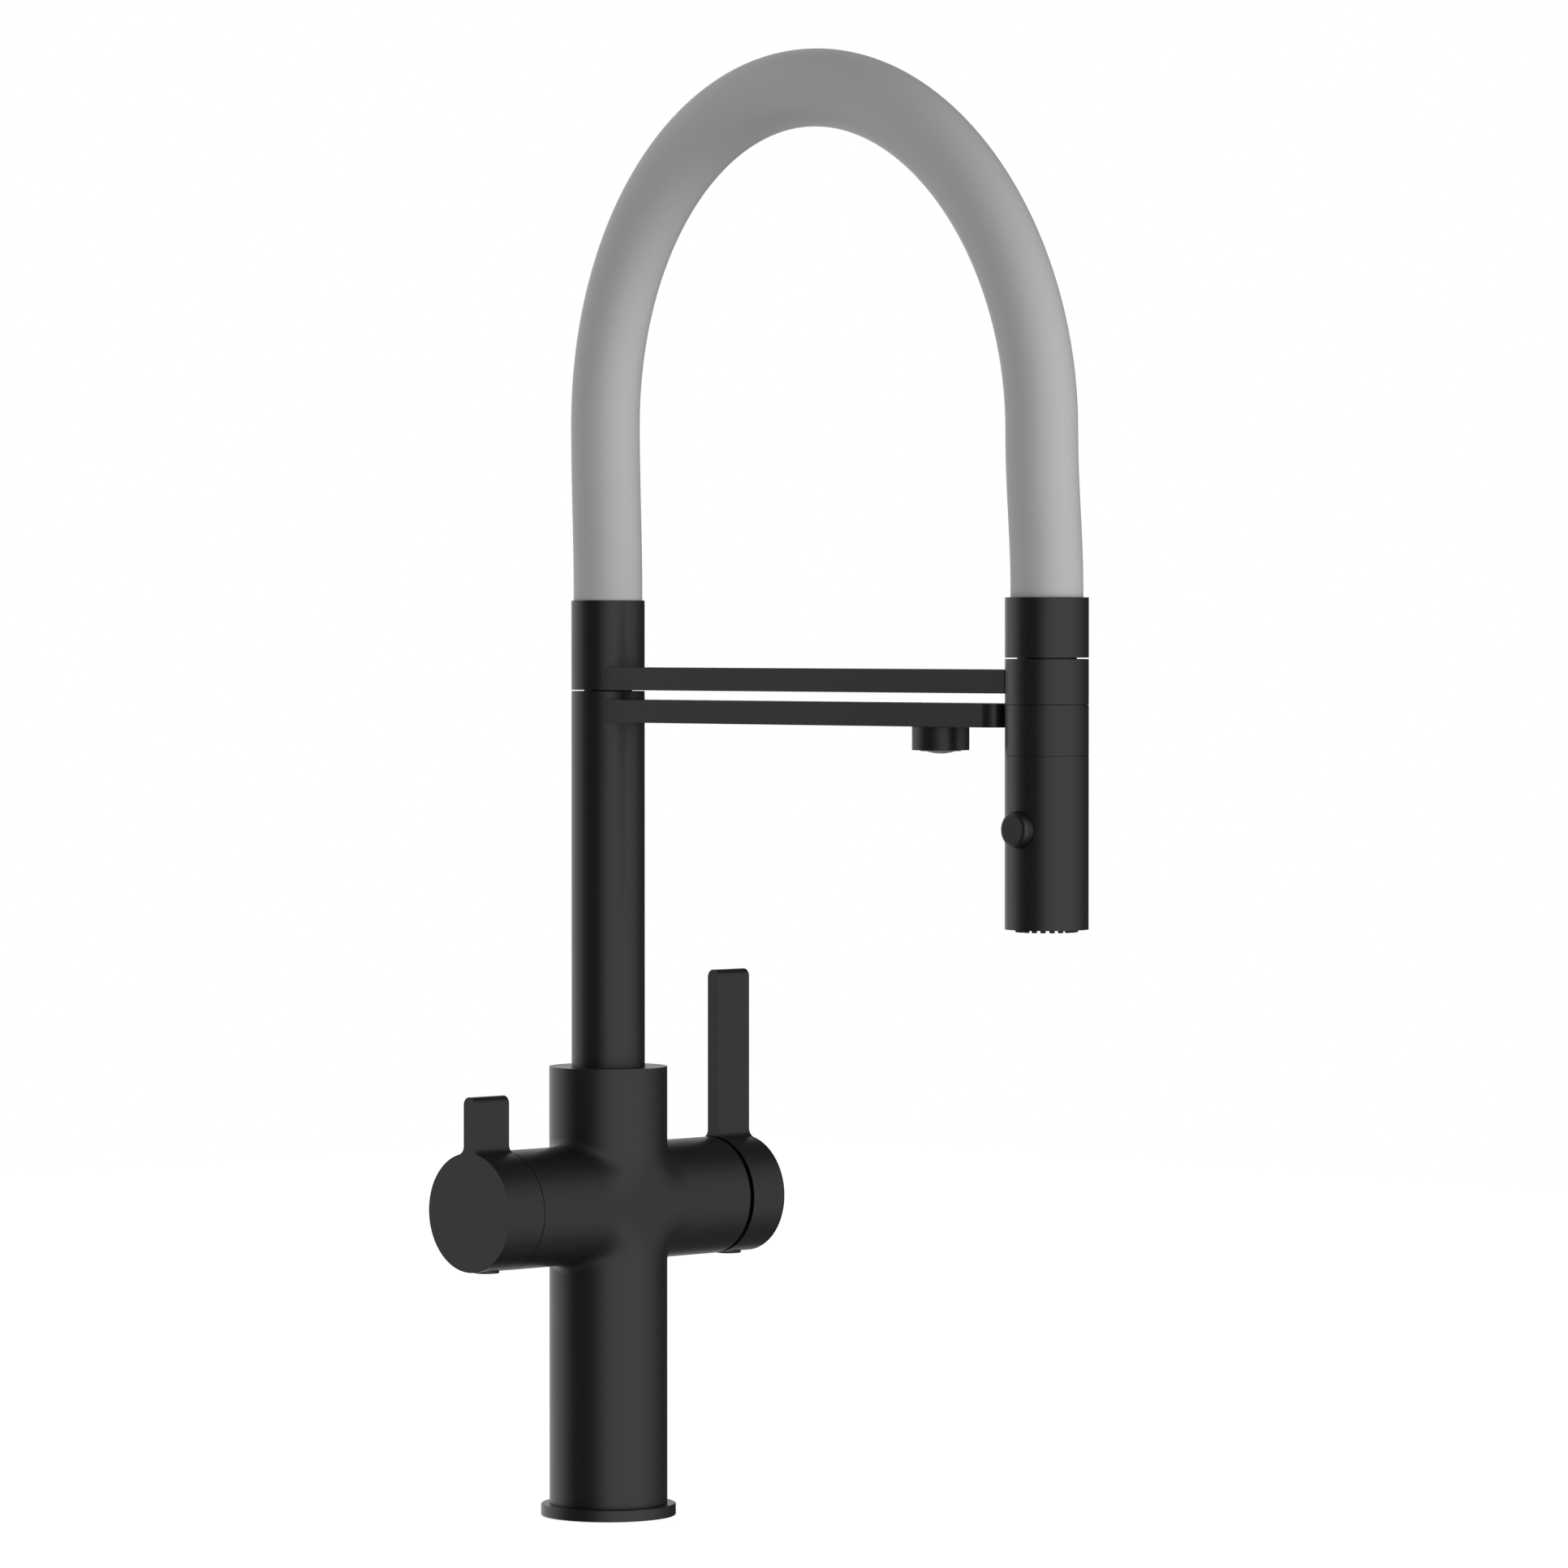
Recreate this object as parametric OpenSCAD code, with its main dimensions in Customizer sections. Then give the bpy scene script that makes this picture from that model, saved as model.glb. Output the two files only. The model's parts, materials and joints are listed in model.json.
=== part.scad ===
// Kitchen tap with a hose arch, a pull-off spray head and a separate filtered-water spout.
// The origin is the centre of the flange's underside, on the worktop. +Z is up, the
// spouts point along -Y, the filtered-water lever is at -X and the mixer lever at +X.

/* [Base and body] */
// Outside diameter of the flange on the worktop
flange_d = 51.6; // [49:0.2:60]
// Height of the flange
flange_h = 4.5; // [3.5:0.5:8]
// Diameter of the upright column
body_d = 45.1; // [44.5:0.1:48]
// Height of the column's top above the worktop
body_top = 171.6; // [168:0.2:185]
// Height of the crossbar's axis
crossbar_z = 119.4; // [115:0.2:122]
// Distance from the column's axis to each end of the crossbar
crossbar_reach = 54; // [52:0.5:60]
// Radius of the blend between column and crossbar at their sides
blend_r = 4; // [2:0.5:7]
// Radius of the same blend at the front and back
front_blend_r = 20; // [8:0.5:22]
// Wall of the column round its lower cavity
body_wall = 4; // [3:0.5:5]

/* [Levers] */
// Diameter of the caps that carry the levers
cap_d = 45; // [44:0.2:46]
// Thickness of a lever's blade
blade_t = 6; // [4:0.5:9]
// Radius of the fillets at the foot of a blade
blade_fillet = 3.5; // [2:0.5:6]
// Length of the filter cap along the crossbar
filter_cap_len = 17.8; // [15:0.2:24]
// Reach of the short lever above the crossbar's axis
filter_lever_reach = 43.5; // [36:0.5:60]
// Seam between the crossbar and the filter cap
filter_seam = 0.2; // [0.1:0.1:0.8]
// Length of the mixer cap along the crossbar
mixer_cap_len = 16.6; // [15.6:0.2:24]
// Reach of the long lever above the crossbar's axis
mixer_lever_reach = 87.2; // [50:0.5:120]
// Open gap between the crossbar and the mixer cap
mixer_gap = 2; // [1.8:0.1:3]
// Diameter of the screw cover plugs
plug_d = 9.6; // [7:0.2:11]

/* [Riser] */
// Outside diameter of the riser tube
riser_d = 28; // [27.4:0.2:30]
// Wall of the riser tube
riser_wall = 2; // [1.5:0.1:2.5]
// Height of the riser tube's top above the worktop
riser_top = 314.8; // [290:0.2:350]
// Depth of the socket that the riser turns in
socket_depth = 25.6; // [22:0.2:26]
// Running clearance between turning pieces, on the radius
run_clear = 0.08; // [0.05:0.01:0.1]
// Clearance between fixed pieces, on the radius
fit_clear = 0.03; // [0.01:0.01:0.08]

/* [Arms] */
// Width of both flat arms
arm_w = 21; // [16:0.5:24]
// Height of both flat arms
arm_h = 8.6; // [8:0.2:11]
// Distance of the lower arm's top under the riser's top
arm_drop = 3.2; // [2:0.2:6]
// Gap between the lower arm's end and the spray head
arm_end_gap = 1.3; // [0.8:0.1:12]
// Radius of the lower arm's end corners
arm_corner_r = 6; // [2:0.5:10]
// Distance of the outlet from the lower arm's end
outlet_inset = 36.5; // [14:0.5:60]
// Diameter of the outlet cup
outlet_d = 21; // [19:0.5:21]
// Height of the outlet cup
outlet_h = 8.6; // [7:0.2:12]

/* [Turning collar] */
// Height of the turning collar
collar_h = 34; // [33:0.2:42]
// Open seam under the turning collar
collar_seam = 0.5; // [0.3:0.1:1]

/* [Hose] */
// Outside diameter of the silicone sleeve
hose_d = 26.2; // [25:0.1:26.2]
// Wall of the silicone sleeve
hose_wall = 3; // [2:0.2:3]
// Extra height of the sleeve's section at the crown
crown_swell = 2.6; // [0:0.2:4]
// Height of the arch's centre line above the turning collar
arch_h = 189.6; // [160:0.2:250]
// Distance of the crown from the riser's axis
arch_y = 106.5; // [95:0.5:120]
// Height of the riser's straight leg above the turning collar
leg_h = 66.7; // [52:0.1:80]
// Outward bow of the riser leg
leg_bow = 1.4; // [0:0.1:3]
// Inward bow of the spray leg
spray_leg_bow = 2.6; // [0:0.1:4]

/* [Spray head] */
// Diameter of the spray head
head_d = 30.2; // [29.6:0.2:34]
// Distance from the riser's axis to the spray head's axis
head_y = 228.9; // [228.4:0.1:250]
// Length of the shell
shell_h = 62.4; // [56:0.2:80]
// Length of the lower collar
lower_collar_h = 18.4; // [16:0.2:24]
// Length of the dock collar
dock_collar_h = 16.6; // [16:0.2:20]
// Distance from the dock arm's middle down to the dock collar's lower seam
dock_drop = 8.2; // [7:0.2:9.4]
// Length of the hose collar
hose_collar_h = 21.9; // [21:0.1:28]
// Open seam over the dock collar
head_seam = 0.5; // [0.3:0.1:0.8]
// Hairline seam between the head's other pieces
hair_seam = 0.1; // [0.05:0.05:0.3]
// Number of soft pips in the spray ring
pip_count = 20; // [12:1:24]
// Radius of the spray ring
pip_ring_r = 10.35; // [9.8:0.05:10.8]
// Diameter of a pip
pip_d = 2; // [1.4:0.1:2.2]
// Distance the pips stand out under the shell
pip_out = 1.4; // [0.8:0.1:2]

/* [Button] */
// Diameter of the push button
button_d = 13; // [10:0.5:14]
// Distance the button stands out
button_out = 3; // [2.8:0.1:4]
// Travel of the button
button_travel = 2.5; // [1.5:0.1:2.6]
// Distance of the button's centre under the shell's top seam
button_drop = 26.3; // [19:0.2:32]

/* [Hidden] */
$fn = 96;

black = [0.10, 0.10, 0.105];
black_rubber = [0.05, 0.05, 0.05];
black_plastic = [0.07, 0.07, 0.07];
silicone = [0.55, 0.55, 0.55];
brass = [0.72, 0.58, 0.30];
steel = [0.70, 0.71, 0.72];
copper = [0.72, 0.42, 0.28];
white_plastic = [0.88, 0.88, 0.86];
grey_plastic = [0.45, 0.46, 0.48];

eps = 0.01;
body_r = body_d / 2;
cap_r = cap_d / 2;
riser_r = riser_d / 2;
head_r = head_d / 2;
hose_r = hose_d / 2;
tube_r = riser_r - riser_wall;
socket_r = riser_r + run_clear;
socket_floor = body_top - socket_depth;

// Lower cavity, inlets and supply pipes
cavity_r = body_r - body_wall;
cavity_roof = 4.5;
cavity_top = crossbar_z - body_r - cavity_roof;
inlet_r = 5;
inlet_ring_r = 9.5;
inlet_depth = 10;
stud_r = 3;
stud_x = 11.26;
stud_y = 6.5;
block_h = 16;
pipe_r = 4;
pipe_bore_r = 3;
pipe_seat = 4;
seal_depth = 1.5;
seal_inner_r = cavity_r + 2.6;
seal_outer_r = seal_inner_r + 2.4;

// Mixer cartridge, along the crossbar's axis
cartridge_r = 17.5;
stem_r = 4;
cartridge_bore_r = cartridge_r + 0.1;
cartridge_depth = 34;
nut_depth = 8;
pivot_depth = 20;
cartridge_seat = crossbar_reach - cartridge_depth;
cartridge_front = crossbar_reach - nut_depth;
stem_pivot = crossbar_reach - pivot_depth;
rotor_r = 12;
rotor_back = stem_pivot - stem_r - 1.5;
rotor_front = stem_pivot + 9.5;
seal_plate = 0.8;
port_ring_r = 9;
port_r = 2.5;
nut_r = 18.9;
nut_bore_r = 13;
nut_len = 6;
tilt_max = 22;
dome_seat = pivot_depth + 0.05;
dome_r = sqrt(pow(dome_seat, 2) + pow(body_r - 0.3, 2));
dome_wall = 1.8;
dome_hole_r = 18;
cap_clear = 0.9;
dish_r = sqrt(pow(dome_seat, 2) + pow(body_r, 2)) + cap_clear;
boss_r = 6.5;
cap_floor = 3.6;
boss_back = 23;
mixer_cap_x = crossbar_reach + mixer_gap;
mixer_screw_x = mixer_cap_x + mixer_cap_len / 2;
screw_r = 2;
hex_r = 1.15;
plug_out = 1;
plug_in = 2.2;

// Filter valve, along the crossbar's axis
valve_r = 12.9;
valve_bore_r = valve_r + 0.1;
valve_seat = 22;
valve_seal_h = 1.2;
valve_neck_r = 8;
valve_front = crossbar_reach - 10;
valve_end = crossbar_reach - 2;
valve_inlet_h = 8;
spindle_r = 4;
spindle_depth = 14;
filter_cap_x = crossbar_reach + filter_seam;
filter_hollow_r = 17;
filter_hollow = 8;
filter_boss_r = 8;
filter_screw_x = filter_cap_x + filter_cap_len / 2;

// Riser
spigot_h = 15;
spigot_bore_r = 9;
spigot_web = 3;
spigot_overlap = 12;
glide_h = 2;
spigot_bottom = socket_floor + glide_h;
tube_bottom = spigot_bottom + spigot_h;
oring_r = 0.9;
keeper_z = spigot_bottom + 6.5;
filter_tube_r = 4;
filter_tube_bore_r = 3;
top_spigot_h = 16.8;
neck_r = 8;
neck_bore_r = 5;
neck_h = 16.2;
channel_r = 2.5;
tenon_r = 3.5;
tenon_len = 1.9;

// Turning collar
collar_bottom = riser_top + collar_seam;
collar_top = collar_bottom + collar_h;
washer_r = 9.2;
collar_bore_top = collar_bottom + 12.7;
clip_z = collar_bore_top + 0.15;
clip_t = 1.2;
thread_r = 11;
cup_r = hose_r + 0.1;
cup_floor = collar_top - 12.3;
tail_flange_h = 1.5;
tail_thread = 5;
tail_bore_r = 3;
barb_r = 4;
barb_len = 14;
ferrule_r = 7.8;
ferrule_bore_r = 6.7;

// Arms
lower_arm_reach = head_y - head_r - arm_end_gap;
outlet_y = lower_arm_reach - outlet_inset;
lower_arm_top = riser_top - arm_drop;
lower_arm_z = lower_arm_top - arm_h;
lower_arm_mid = lower_arm_z + arm_h / 2;
upper_arm_z = collar_bottom;
upper_arm_mid = upper_arm_z + arm_h / 2;
cradle_clear = 0.3;
magnet_r = 3;
magnet_len = 10;
outlet_wall = 2;
outlet_roof = 2.5;
outlet_neck_r = 5.5;
outlet_neck_h = 2.4;
dome_out = 1.3;
insert_dome_r = 6.35;

// Spray head, from the dock arm's height down and up
dock_low = upper_arm_mid - dock_drop;
dock_top = dock_low + dock_collar_h;
hose_collar_top = dock_top + hose_collar_h;
shell_top = dock_low - lower_collar_h;
head_bottom = shell_top - shell_h;
button_z = shell_top - button_drop;
shell_wall = 2.1;
shell_bore_r = head_r - shell_wall;
nipple_r = 10.8;
nipple_bore_r = 5;
nipple_bottom = dock_low + 5.2;
hose_collar_low = dock_top + head_seam / 2;
head_cup_floor = hose_collar_top - 12.4;
dock_shoulder = dock_top - 8;
dock_counterbore_r = 12.7;
head_thread_r = dock_counterbore_r - fit_clear;
head_thread_h = 3.9;
shell_thread_h = 8;
check_r = 8.5;
check_h = 14;
check_sink = 4;
block_r = shell_bore_r - 0.1;
plate_h = 2.4;
plate_rise = 0.5;
mat_h = 2;
mat_r = 12;
pip_hole_r = pip_d / 2 + fit_clear;
aerator_r = 6.5;
block_low = head_bottom + plate_rise + plate_h + mat_h;
block_top = shell_top - shell_thread_h - 0.2;

// Button
button_r = button_d / 2;
button_hole_r = button_r + 0.2;
button_edge_r = 1.4;
button_cap_len = 5.6;
button_stem_r = 3;
button_stem_len = 15;
button_pocket = 5;
spring_wire_r = 0.4;
spring_turns = 5;
spring_r = 4.4;

// Hose arch: its heights, rings along the sleeve, sides of its section, and the curve's handles
arch_top = collar_top + arch_h;
leg_top = collar_top + leg_h;
far_leg_top = leg_top - 6;
hose_rings = 46;
hose_sides = 24;
inner_sides = 10;
inner_rings = 30;
coil_wall = 1.4;
coil_r = hose_r - hose_wall - 0.5;
inner_hose_r = 6.4;
inner_hose_bore_r = 4.6;
sleeve_low = cup_floor + tail_flange_h + 0.1;
sleeve_far_low = head_cup_floor + tail_flange_h + 0.1;
inner_low = cup_floor + tail_flange_h + 0.1;
inner_far_low = head_cup_floor + tail_flange_h + 0.1;
stub_top = collar_top + 1.2;
far_stub_top = hose_collar_top + 1.2;
rise_handle = 71;
crown_handle = 59;
far_crown_handle = 64.5;
fall_handle = 68;
leg_handle = 22;

function bezier(p, t) =
    pow(1 - t, 3) * p[0] + 3 * pow(1 - t, 2) * t * p[1]
    + 3 * (1 - t) * t * t * p[2] + pow(t, 3) * p[3];

function bezier_slope(p, t) =
    3 * pow(1 - t, 2) * (p[1] - p[0]) + 6 * (1 - t) * t * (p[2] - p[1])
    + 3 * t * t * (p[3] - p[2]);

// The arch's centre line as a chain of curves in the plane X = 0, each point [y, z]
function arch_curves(low, far_low) = [
    [[0, low], [0, low + (stub_top - low) / 3], [0, stub_top - (stub_top - low) / 3], [0, stub_top]],
    [[0, stub_top], [0, stub_top + leg_handle], [leg_bow, leg_top - leg_handle], [leg_bow, leg_top]],
    [[leg_bow, leg_top], [leg_bow, leg_top + rise_handle],
        [-arch_y + crown_handle, arch_top], [-arch_y, arch_top]],
    [[-arch_y, arch_top], [-arch_y - far_crown_handle, arch_top],
        [spray_leg_bow - head_y, far_leg_top + fall_handle], [spray_leg_bow - head_y, far_leg_top]],
    [[spray_leg_bow - head_y, far_leg_top], [spray_leg_bow - head_y, far_leg_top - leg_handle],
        [-head_y, far_stub_top + leg_handle], [-head_y, far_stub_top]],
    [[-head_y, far_stub_top], [-head_y, far_stub_top - (far_stub_top - far_low) / 3],
        [-head_y, far_low + (far_stub_top - far_low) / 3], [-head_y, far_low]]
];

// Share of the rings that each curve of the chain takes
curve_share = [0.05, 0.1, 0.35, 0.35, 0.1, 0.05];

function curve_steps(i, rings) = max(1, round(rings * curve_share[i]));

// Stations along the arch: [y, z, slope y, slope z, swell], the last one at the spray end
function stations(low, far_low, rings) =
    let (c = arch_curves(low, far_low))
    concat(
        [for (i = [0 : len(c) - 1], k = [0 : curve_steps(i, rings) - 1])
            let (t = k / curve_steps(i, rings))
            concat(bezier(c[i], t), bezier_slope(c[i], t), [swell_at(i, t)])],
        [concat(c[5][3], bezier_slope(c[5], 1), [0])]
    );

// The section is round in the legs and grows taller toward the crown
function swell_at(i, t) =
    i == 2 ? pow(sin(90 * t), 2) : i == 3 ? pow(cos(90 * t), 2) : 0;

// One ring of a section square to the curve: rx across the arch, rn in its plane
function ring(s, rx, rn, sides) =
    let (slope = sqrt(s[2] * s[2] + s[3] * s[3]), ny = s[3] / slope, nz = -s[2] / slope)
    [for (k = [0 : sides - 1])
        let (a = 360 * k / sides)
        [rx * cos(a), s[0] + rn * sin(a) * ny, s[1] + rn * sin(a) * nz]];

// A bent tube: outer rings, then inner rings, joined by flat ends
module bent_tube(points, outer_r, bore_r, sides, swell = 0) {
    n = len(points);
    outer = [for (s = points) each ring(s, outer_r, outer_r + swell / 2 * s[4], sides)];
    inner = [for (s = points) each ring(s, bore_r, bore_r + swell / 2 * s[4], sides)];
    m = n * sides;
    skin = [for (i = [0 : n - 2], k = [0 : sides - 1], half = [0, 1])
        let (a = i * sides + k, b = i * sides + (k + 1) % sides)
        half == 0 ? [a, b, b + sides] : [a, b + sides, a + sides]];
    bore = [for (f = skin) [f[0] + m, f[2] + m, f[1] + m]];
    first = [for (k = [0 : sides - 1], half = [0, 1])
        let (a = k, b = (k + 1) % sides)
        half == 0 ? [b, a, a + m] : [b, a + m, b + m]];
    last = [for (f = first) [f[0] + m - sides, f[2] + m - sides, f[1] + m - sides]];
    polyhedron(concat(outer, inner), concat(skin, bore, first, last));
}

// Turns a shape drawn upwards so that it points along +X at the crossbar's height
module along_crossbar(x = 0) {
    translate([x, 0, crossbar_z]) rotate([0, 90, 0]) children();
}

// Turns a shape drawn upwards so that it points along -X at the crossbar's height
module along_crossbar_left(x = 0) {
    translate([-x, 0, crossbar_z]) rotate([0, -90, 0]) children();
}

// Draws a shape on the spray head's axis
module at_head(z = 0) {
    translate([0, -head_y, z]) children();
}

module tube(h, r, bore_r) {
    difference() {
        cylinder(h = h, r = r);
        translate([0, 0, -1]) cylinder(h = h + 2, r = bore_r);
    }
}

module oring(ring_r, section_r) {
    rotate_extrude() translate([ring_r, 0]) circle(r = section_r, $fn = 32);
}

// An open spring clip: a flat ring with a gap
module circlip(r, bore_r, t) {
    difference() {
        tube(t, r, bore_r);
        translate([-1.5, 0, -1]) cube([3, r + 1, t + 2]);
    }
}

module at_inlets() {
    for (a = [90, 210, 330]) rotate([0, 0, a]) translate([inlet_ring_r, 0, 0]) children();
}

module base_flange() {
    color(black) difference() {
        rotate_extrude() polygon([
            [cavity_r, 0], [flange_d / 2, 0], [flange_d / 2, flange_h - 0.4],
            [flange_d / 2 - 0.4, flange_h], [cavity_r, flange_h]
        ]);
        translate([0, 0, -1]) tube(seal_depth + 1, seal_outer_r + fit_clear, seal_inner_r - fit_clear);
    }
}

module base_seal() {
    color(black_rubber) tube(seal_depth, seal_outer_r, seal_inner_r);
}

// Fills the corner between column and crossbar in the quadrant +X, +Z, tangent to both. Each
// slice across Y has a round fillet, which widens from blend_r at the sides to the soft front.
module corner_blend(steps = 18, arc_steps = 6) {
    sink = 0.2;
    inside = 3;
    last_slice = 84;
    function fillet(share) = blend_r + (front_blend_r - blend_r) * pow(share, 6);
    function arc_point(a, t) =
        let (share = sin(a), corner = body_r * cos(a), r = fillet(share))
        [corner + r - r * cos(t), body_r * share, corner + r - r * sin(t)];
    rows = [for (i = [0 : steps]) let (a = last_slice * (2 * i / steps - 1), core = body_r * cos(a) - inside)
        concat([for (j = [0 : arc_steps]) arc_point(a, 90 * j / arc_steps)], [[core, body_r * sin(a), core]])];
    cols = arc_steps + 2;
    points = [for (row = rows) each row];
    sides = [for (i = [0 : steps - 1], j = [0 : cols - 1], half = [0, 1])
        let (a = i * cols + j, b = i * cols + (j + 1) % cols)
        half == 0 ? [a, b + cols, b] : [a, a + cols, b + cols]];
    near = [for (j = [0 : cols - 3]) [cols - 1, j, j + 1]];
    far = [for (f = near) [f[0] + steps * cols, f[2] + steps * cols, f[1] + steps * cols]];
    translate([-sink, 0, -sink]) polyhedron(points, concat(sides, near, far));
}

module tap_body() {
    color(black) difference() {
        union() {
            translate([0, 0, flange_h]) cylinder(h = body_top - flange_h, r = body_r);
            along_crossbar(-crossbar_reach) cylinder(h = 2 * crossbar_reach, r = body_r);
            for (sx = [0, 1], sz = [0, 1])
                translate([0, 0, crossbar_z]) mirror([sx, 0, 0]) mirror([0, 0, sz]) corner_blend();
        }
        translate([0, 0, flange_h - 1]) cylinder(h = cavity_top - flange_h + 1, r = cavity_r);
        translate([0, 0, socket_floor]) cylinder(h = socket_depth + 1, r = socket_r);
        along_crossbar(cartridge_seat) cylinder(h = crossbar_reach, r = cartridge_bore_r);
        along_crossbar(cartridge_front) cylinder(h = crossbar_reach, r = nut_r + fit_clear);
        along_crossbar_left(valve_seat) cylinder(h = crossbar_reach, r = valve_bore_r);
        translate([0, body_r + 1, keeper_z]) rotate([90, 0, 0])
            cylinder(h = body_r - socket_r + 2, r = screw_r + fit_clear);
    }
}

module inlet_block() {
    color(brass) difference() {
        cylinder(h = block_h, r = cavity_r - fit_clear);
        at_inlets() {
            translate([0, 0, -1]) cylinder(h = inlet_depth + 1, r = inlet_r);
            cylinder(h = block_h, r = 2.5);
            translate([0, 0, block_h - pipe_seat]) cylinder(h = pipe_seat + 1, r = pipe_r + fit_clear);
        }
        for (sx = [-1, 1]) translate([sx * stud_x, stud_y, -1]) cylinder(h = inlet_depth + 1, r = stud_r);
    }
}

module supply_pipe() {
    translate([inlet_ring_r, 0, block_h - pipe_seat])
        tube(cavity_top - block_h + pipe_seat, pipe_r, pipe_bore_r);
}

module supply_pipes() {
    color(copper) for (a = [210, 330]) rotate([0, 0, a]) supply_pipe();
}

module filter_pipe() {
    color(copper) rotate([0, 0, 90]) supply_pipe();
}

// Three port seals between the cartridge and its seat
module cartridge_seals() {
    color(black_rubber) along_crossbar(cartridge_seat)
        for (a = [60, 180, 300]) rotate([0, 0, a]) translate([port_ring_r, 0, 0])
            tube(seal_plate, port_r + 1.5, port_r + 0.1);
}

module mixer_cartridge() {
    back = cartridge_seat + seal_plate;
    color(white_plastic) difference() {
        along_crossbar(back) cylinder(h = cartridge_front - back, r = cartridge_r);
        along_crossbar(rotor_back) cylinder(h = rotor_front - rotor_back + 0.2, r = rotor_r + run_clear);
        along_crossbar(rotor_front) cylinder(h = crossbar_reach, r = rotor_r - 0.8);
        for (a = [60, 180, 300]) along_crossbar(back - 1) rotate([0, 0, a])
            translate([port_ring_r, 0, 0]) cylinder(h = 6, r = port_r);
    }
}

// Turning carrier of the stem, with the slot that the stem tilts in
module cartridge_rotor() {
    slot_r = stem_r + 0.3;
    slot_w = 2 * slot_r;
    far = 30;
    color(grey_plastic) difference() {
        along_crossbar(rotor_back + 0.1) cylinder(h = rotor_front - rotor_back - 0.1, r = rotor_r);
        translate([stem_pivot, slot_w / 2, crossbar_z]) rotate([90, 0, 0]) linear_extrude(slot_w) {
            circle(r = slot_r);
            polygon([
                [0, slot_r], [far, slot_r],
                [far, -far * tan(tilt_max) - slot_r / cos(tilt_max)],
                [-slot_r * sin(tilt_max), -slot_r * cos(tilt_max)]
            ]);
        }
        translate([stem_pivot, rotor_r + 1, crossbar_z]) rotate([90, 0, 0])
            cylinder(h = 2 * rotor_r + 2, r = 1.5 + fit_clear);
    }
}

module stem_pin() {
    length = 2 * (rotor_r - 1.2);
    color(steel) translate([stem_pivot, length / 2, crossbar_z]) rotate([90, 0, 0])
        cylinder(h = length, r = 1.5);
}

module mixer_stem() {
    stem_tip = mixer_cap_x + mixer_cap_len - cap_floor;
    color(brass) difference() {
        intersection() {
            along_crossbar(stem_pivot - stem_r) cylinder(h = stem_tip - stem_pivot + stem_r, r = stem_r);
            union() {
                translate([stem_pivot, stem_r + 1, crossbar_z]) rotate([90, 0, 0])
                    cylinder(h = 2 * stem_r + 2, r = stem_r);
                translate([stem_pivot, -stem_r - 1, crossbar_z - stem_r - 1])
                    cube([stem_tip, 2 * stem_r + 2, 2 * stem_r + 2]);
            }
        }
        translate([stem_pivot, stem_r + 1, crossbar_z]) rotate([90, 0, 0])
            cylinder(h = 2 * stem_r + 2, r = 1.5 + run_clear);
    }
}

module cartridge_nut() {
    color(brass) difference() {
        along_crossbar(cartridge_front + fit_clear) tube(nut_len, nut_r, nut_bore_r);
        for (a = [0 : 90 : 270]) along_crossbar(cartridge_front + nut_len - 2)
            rotate([0, 0, a]) translate([nut_bore_r + 2, -1.5, 0]) cube([nut_r, 3, 3]);
    }
}

// Cover ring over the cartridge: a slice of a sphere round the stem's pivot
module mixer_dome() {
    skirt = 1.9;
    inner = dome_hole_r - 0.3;
    color(black) along_crossbar(stem_pivot) rotate_extrude() {
        union() {
            intersection() {
                difference() {
                    circle(r = dome_r, $fn = 180);
                    circle(r = dome_r - dome_wall, $fn = 180);
                }
                translate([dome_hole_r, dome_seat]) square([dome_r, dome_r]);
            }
            translate([inner, dome_seat]) square([body_r - 1 - inner, 1]);
            translate([inner, dome_seat - skirt]) square([nut_r - inner, skirt + 0.5]);
        }
    }
}

// Keyhole outline of a cap with its blade: the disc's centre is the origin
module lever_outline(reach) {
    half = blade_t / 2;
    fy = half + blade_fillet;
    fz = sqrt(pow(cap_r + blade_fillet, 2) - fy * fy);
    contact = cap_r / (cap_r + blade_fillet);
    circle(r = cap_r, $fn = 180);
    translate([-half, 0]) square([blade_t, reach - half]);
    translate([0, reach - half]) circle(r = half, $fn = 48);
    for (s = [0, 1]) mirror([s, 0]) difference() {
        polygon([[0, fz * contact - 1], [fy * contact, fz * contact], [fy, fz], [half, fz], [0, fz]]);
        translate([fy, fz]) circle(r = blade_fillet, $fn = 64);
    }
}

// A cap with its blade, drawn from x = 0 towards +X
module lever_solid(length, reach) {
    translate([0, 0, crossbar_z]) rotate([90, 0, 90]) linear_extrude(length) lever_outline(reach);
}

// Bore for the grub screw and its plug, from below
module screw_bore(x) {
    translate([x, 0, crossbar_z - cap_r - 1]) cylinder(h = cap_r, r = screw_r + fit_clear);
    translate([x, 0, crossbar_z - cap_r - 1]) cylinder(h = plug_in + 1, r = plug_d / 2 - 1.4);
}

module filter_lever() {
    boss_start = filter_cap_x + 3;
    color(black) difference() {
        mirror([1, 0, 0]) translate([filter_cap_x, 0, 0]) lever_solid(filter_cap_len, filter_lever_reach);
        difference() {
            along_crossbar_left(filter_cap_x - 1) cylinder(h = filter_hollow + 1, r = filter_hollow_r);
            along_crossbar_left(boss_start) cylinder(h = filter_hollow, r = filter_boss_r);
        }
        along_crossbar_left(filter_cap_x - 1)
            cylinder(h = filter_cap_len + 1.2 - cap_floor, r = spindle_r + fit_clear);
        mirror([1, 0, 0]) screw_bore(filter_screw_x);
    }
}

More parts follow.
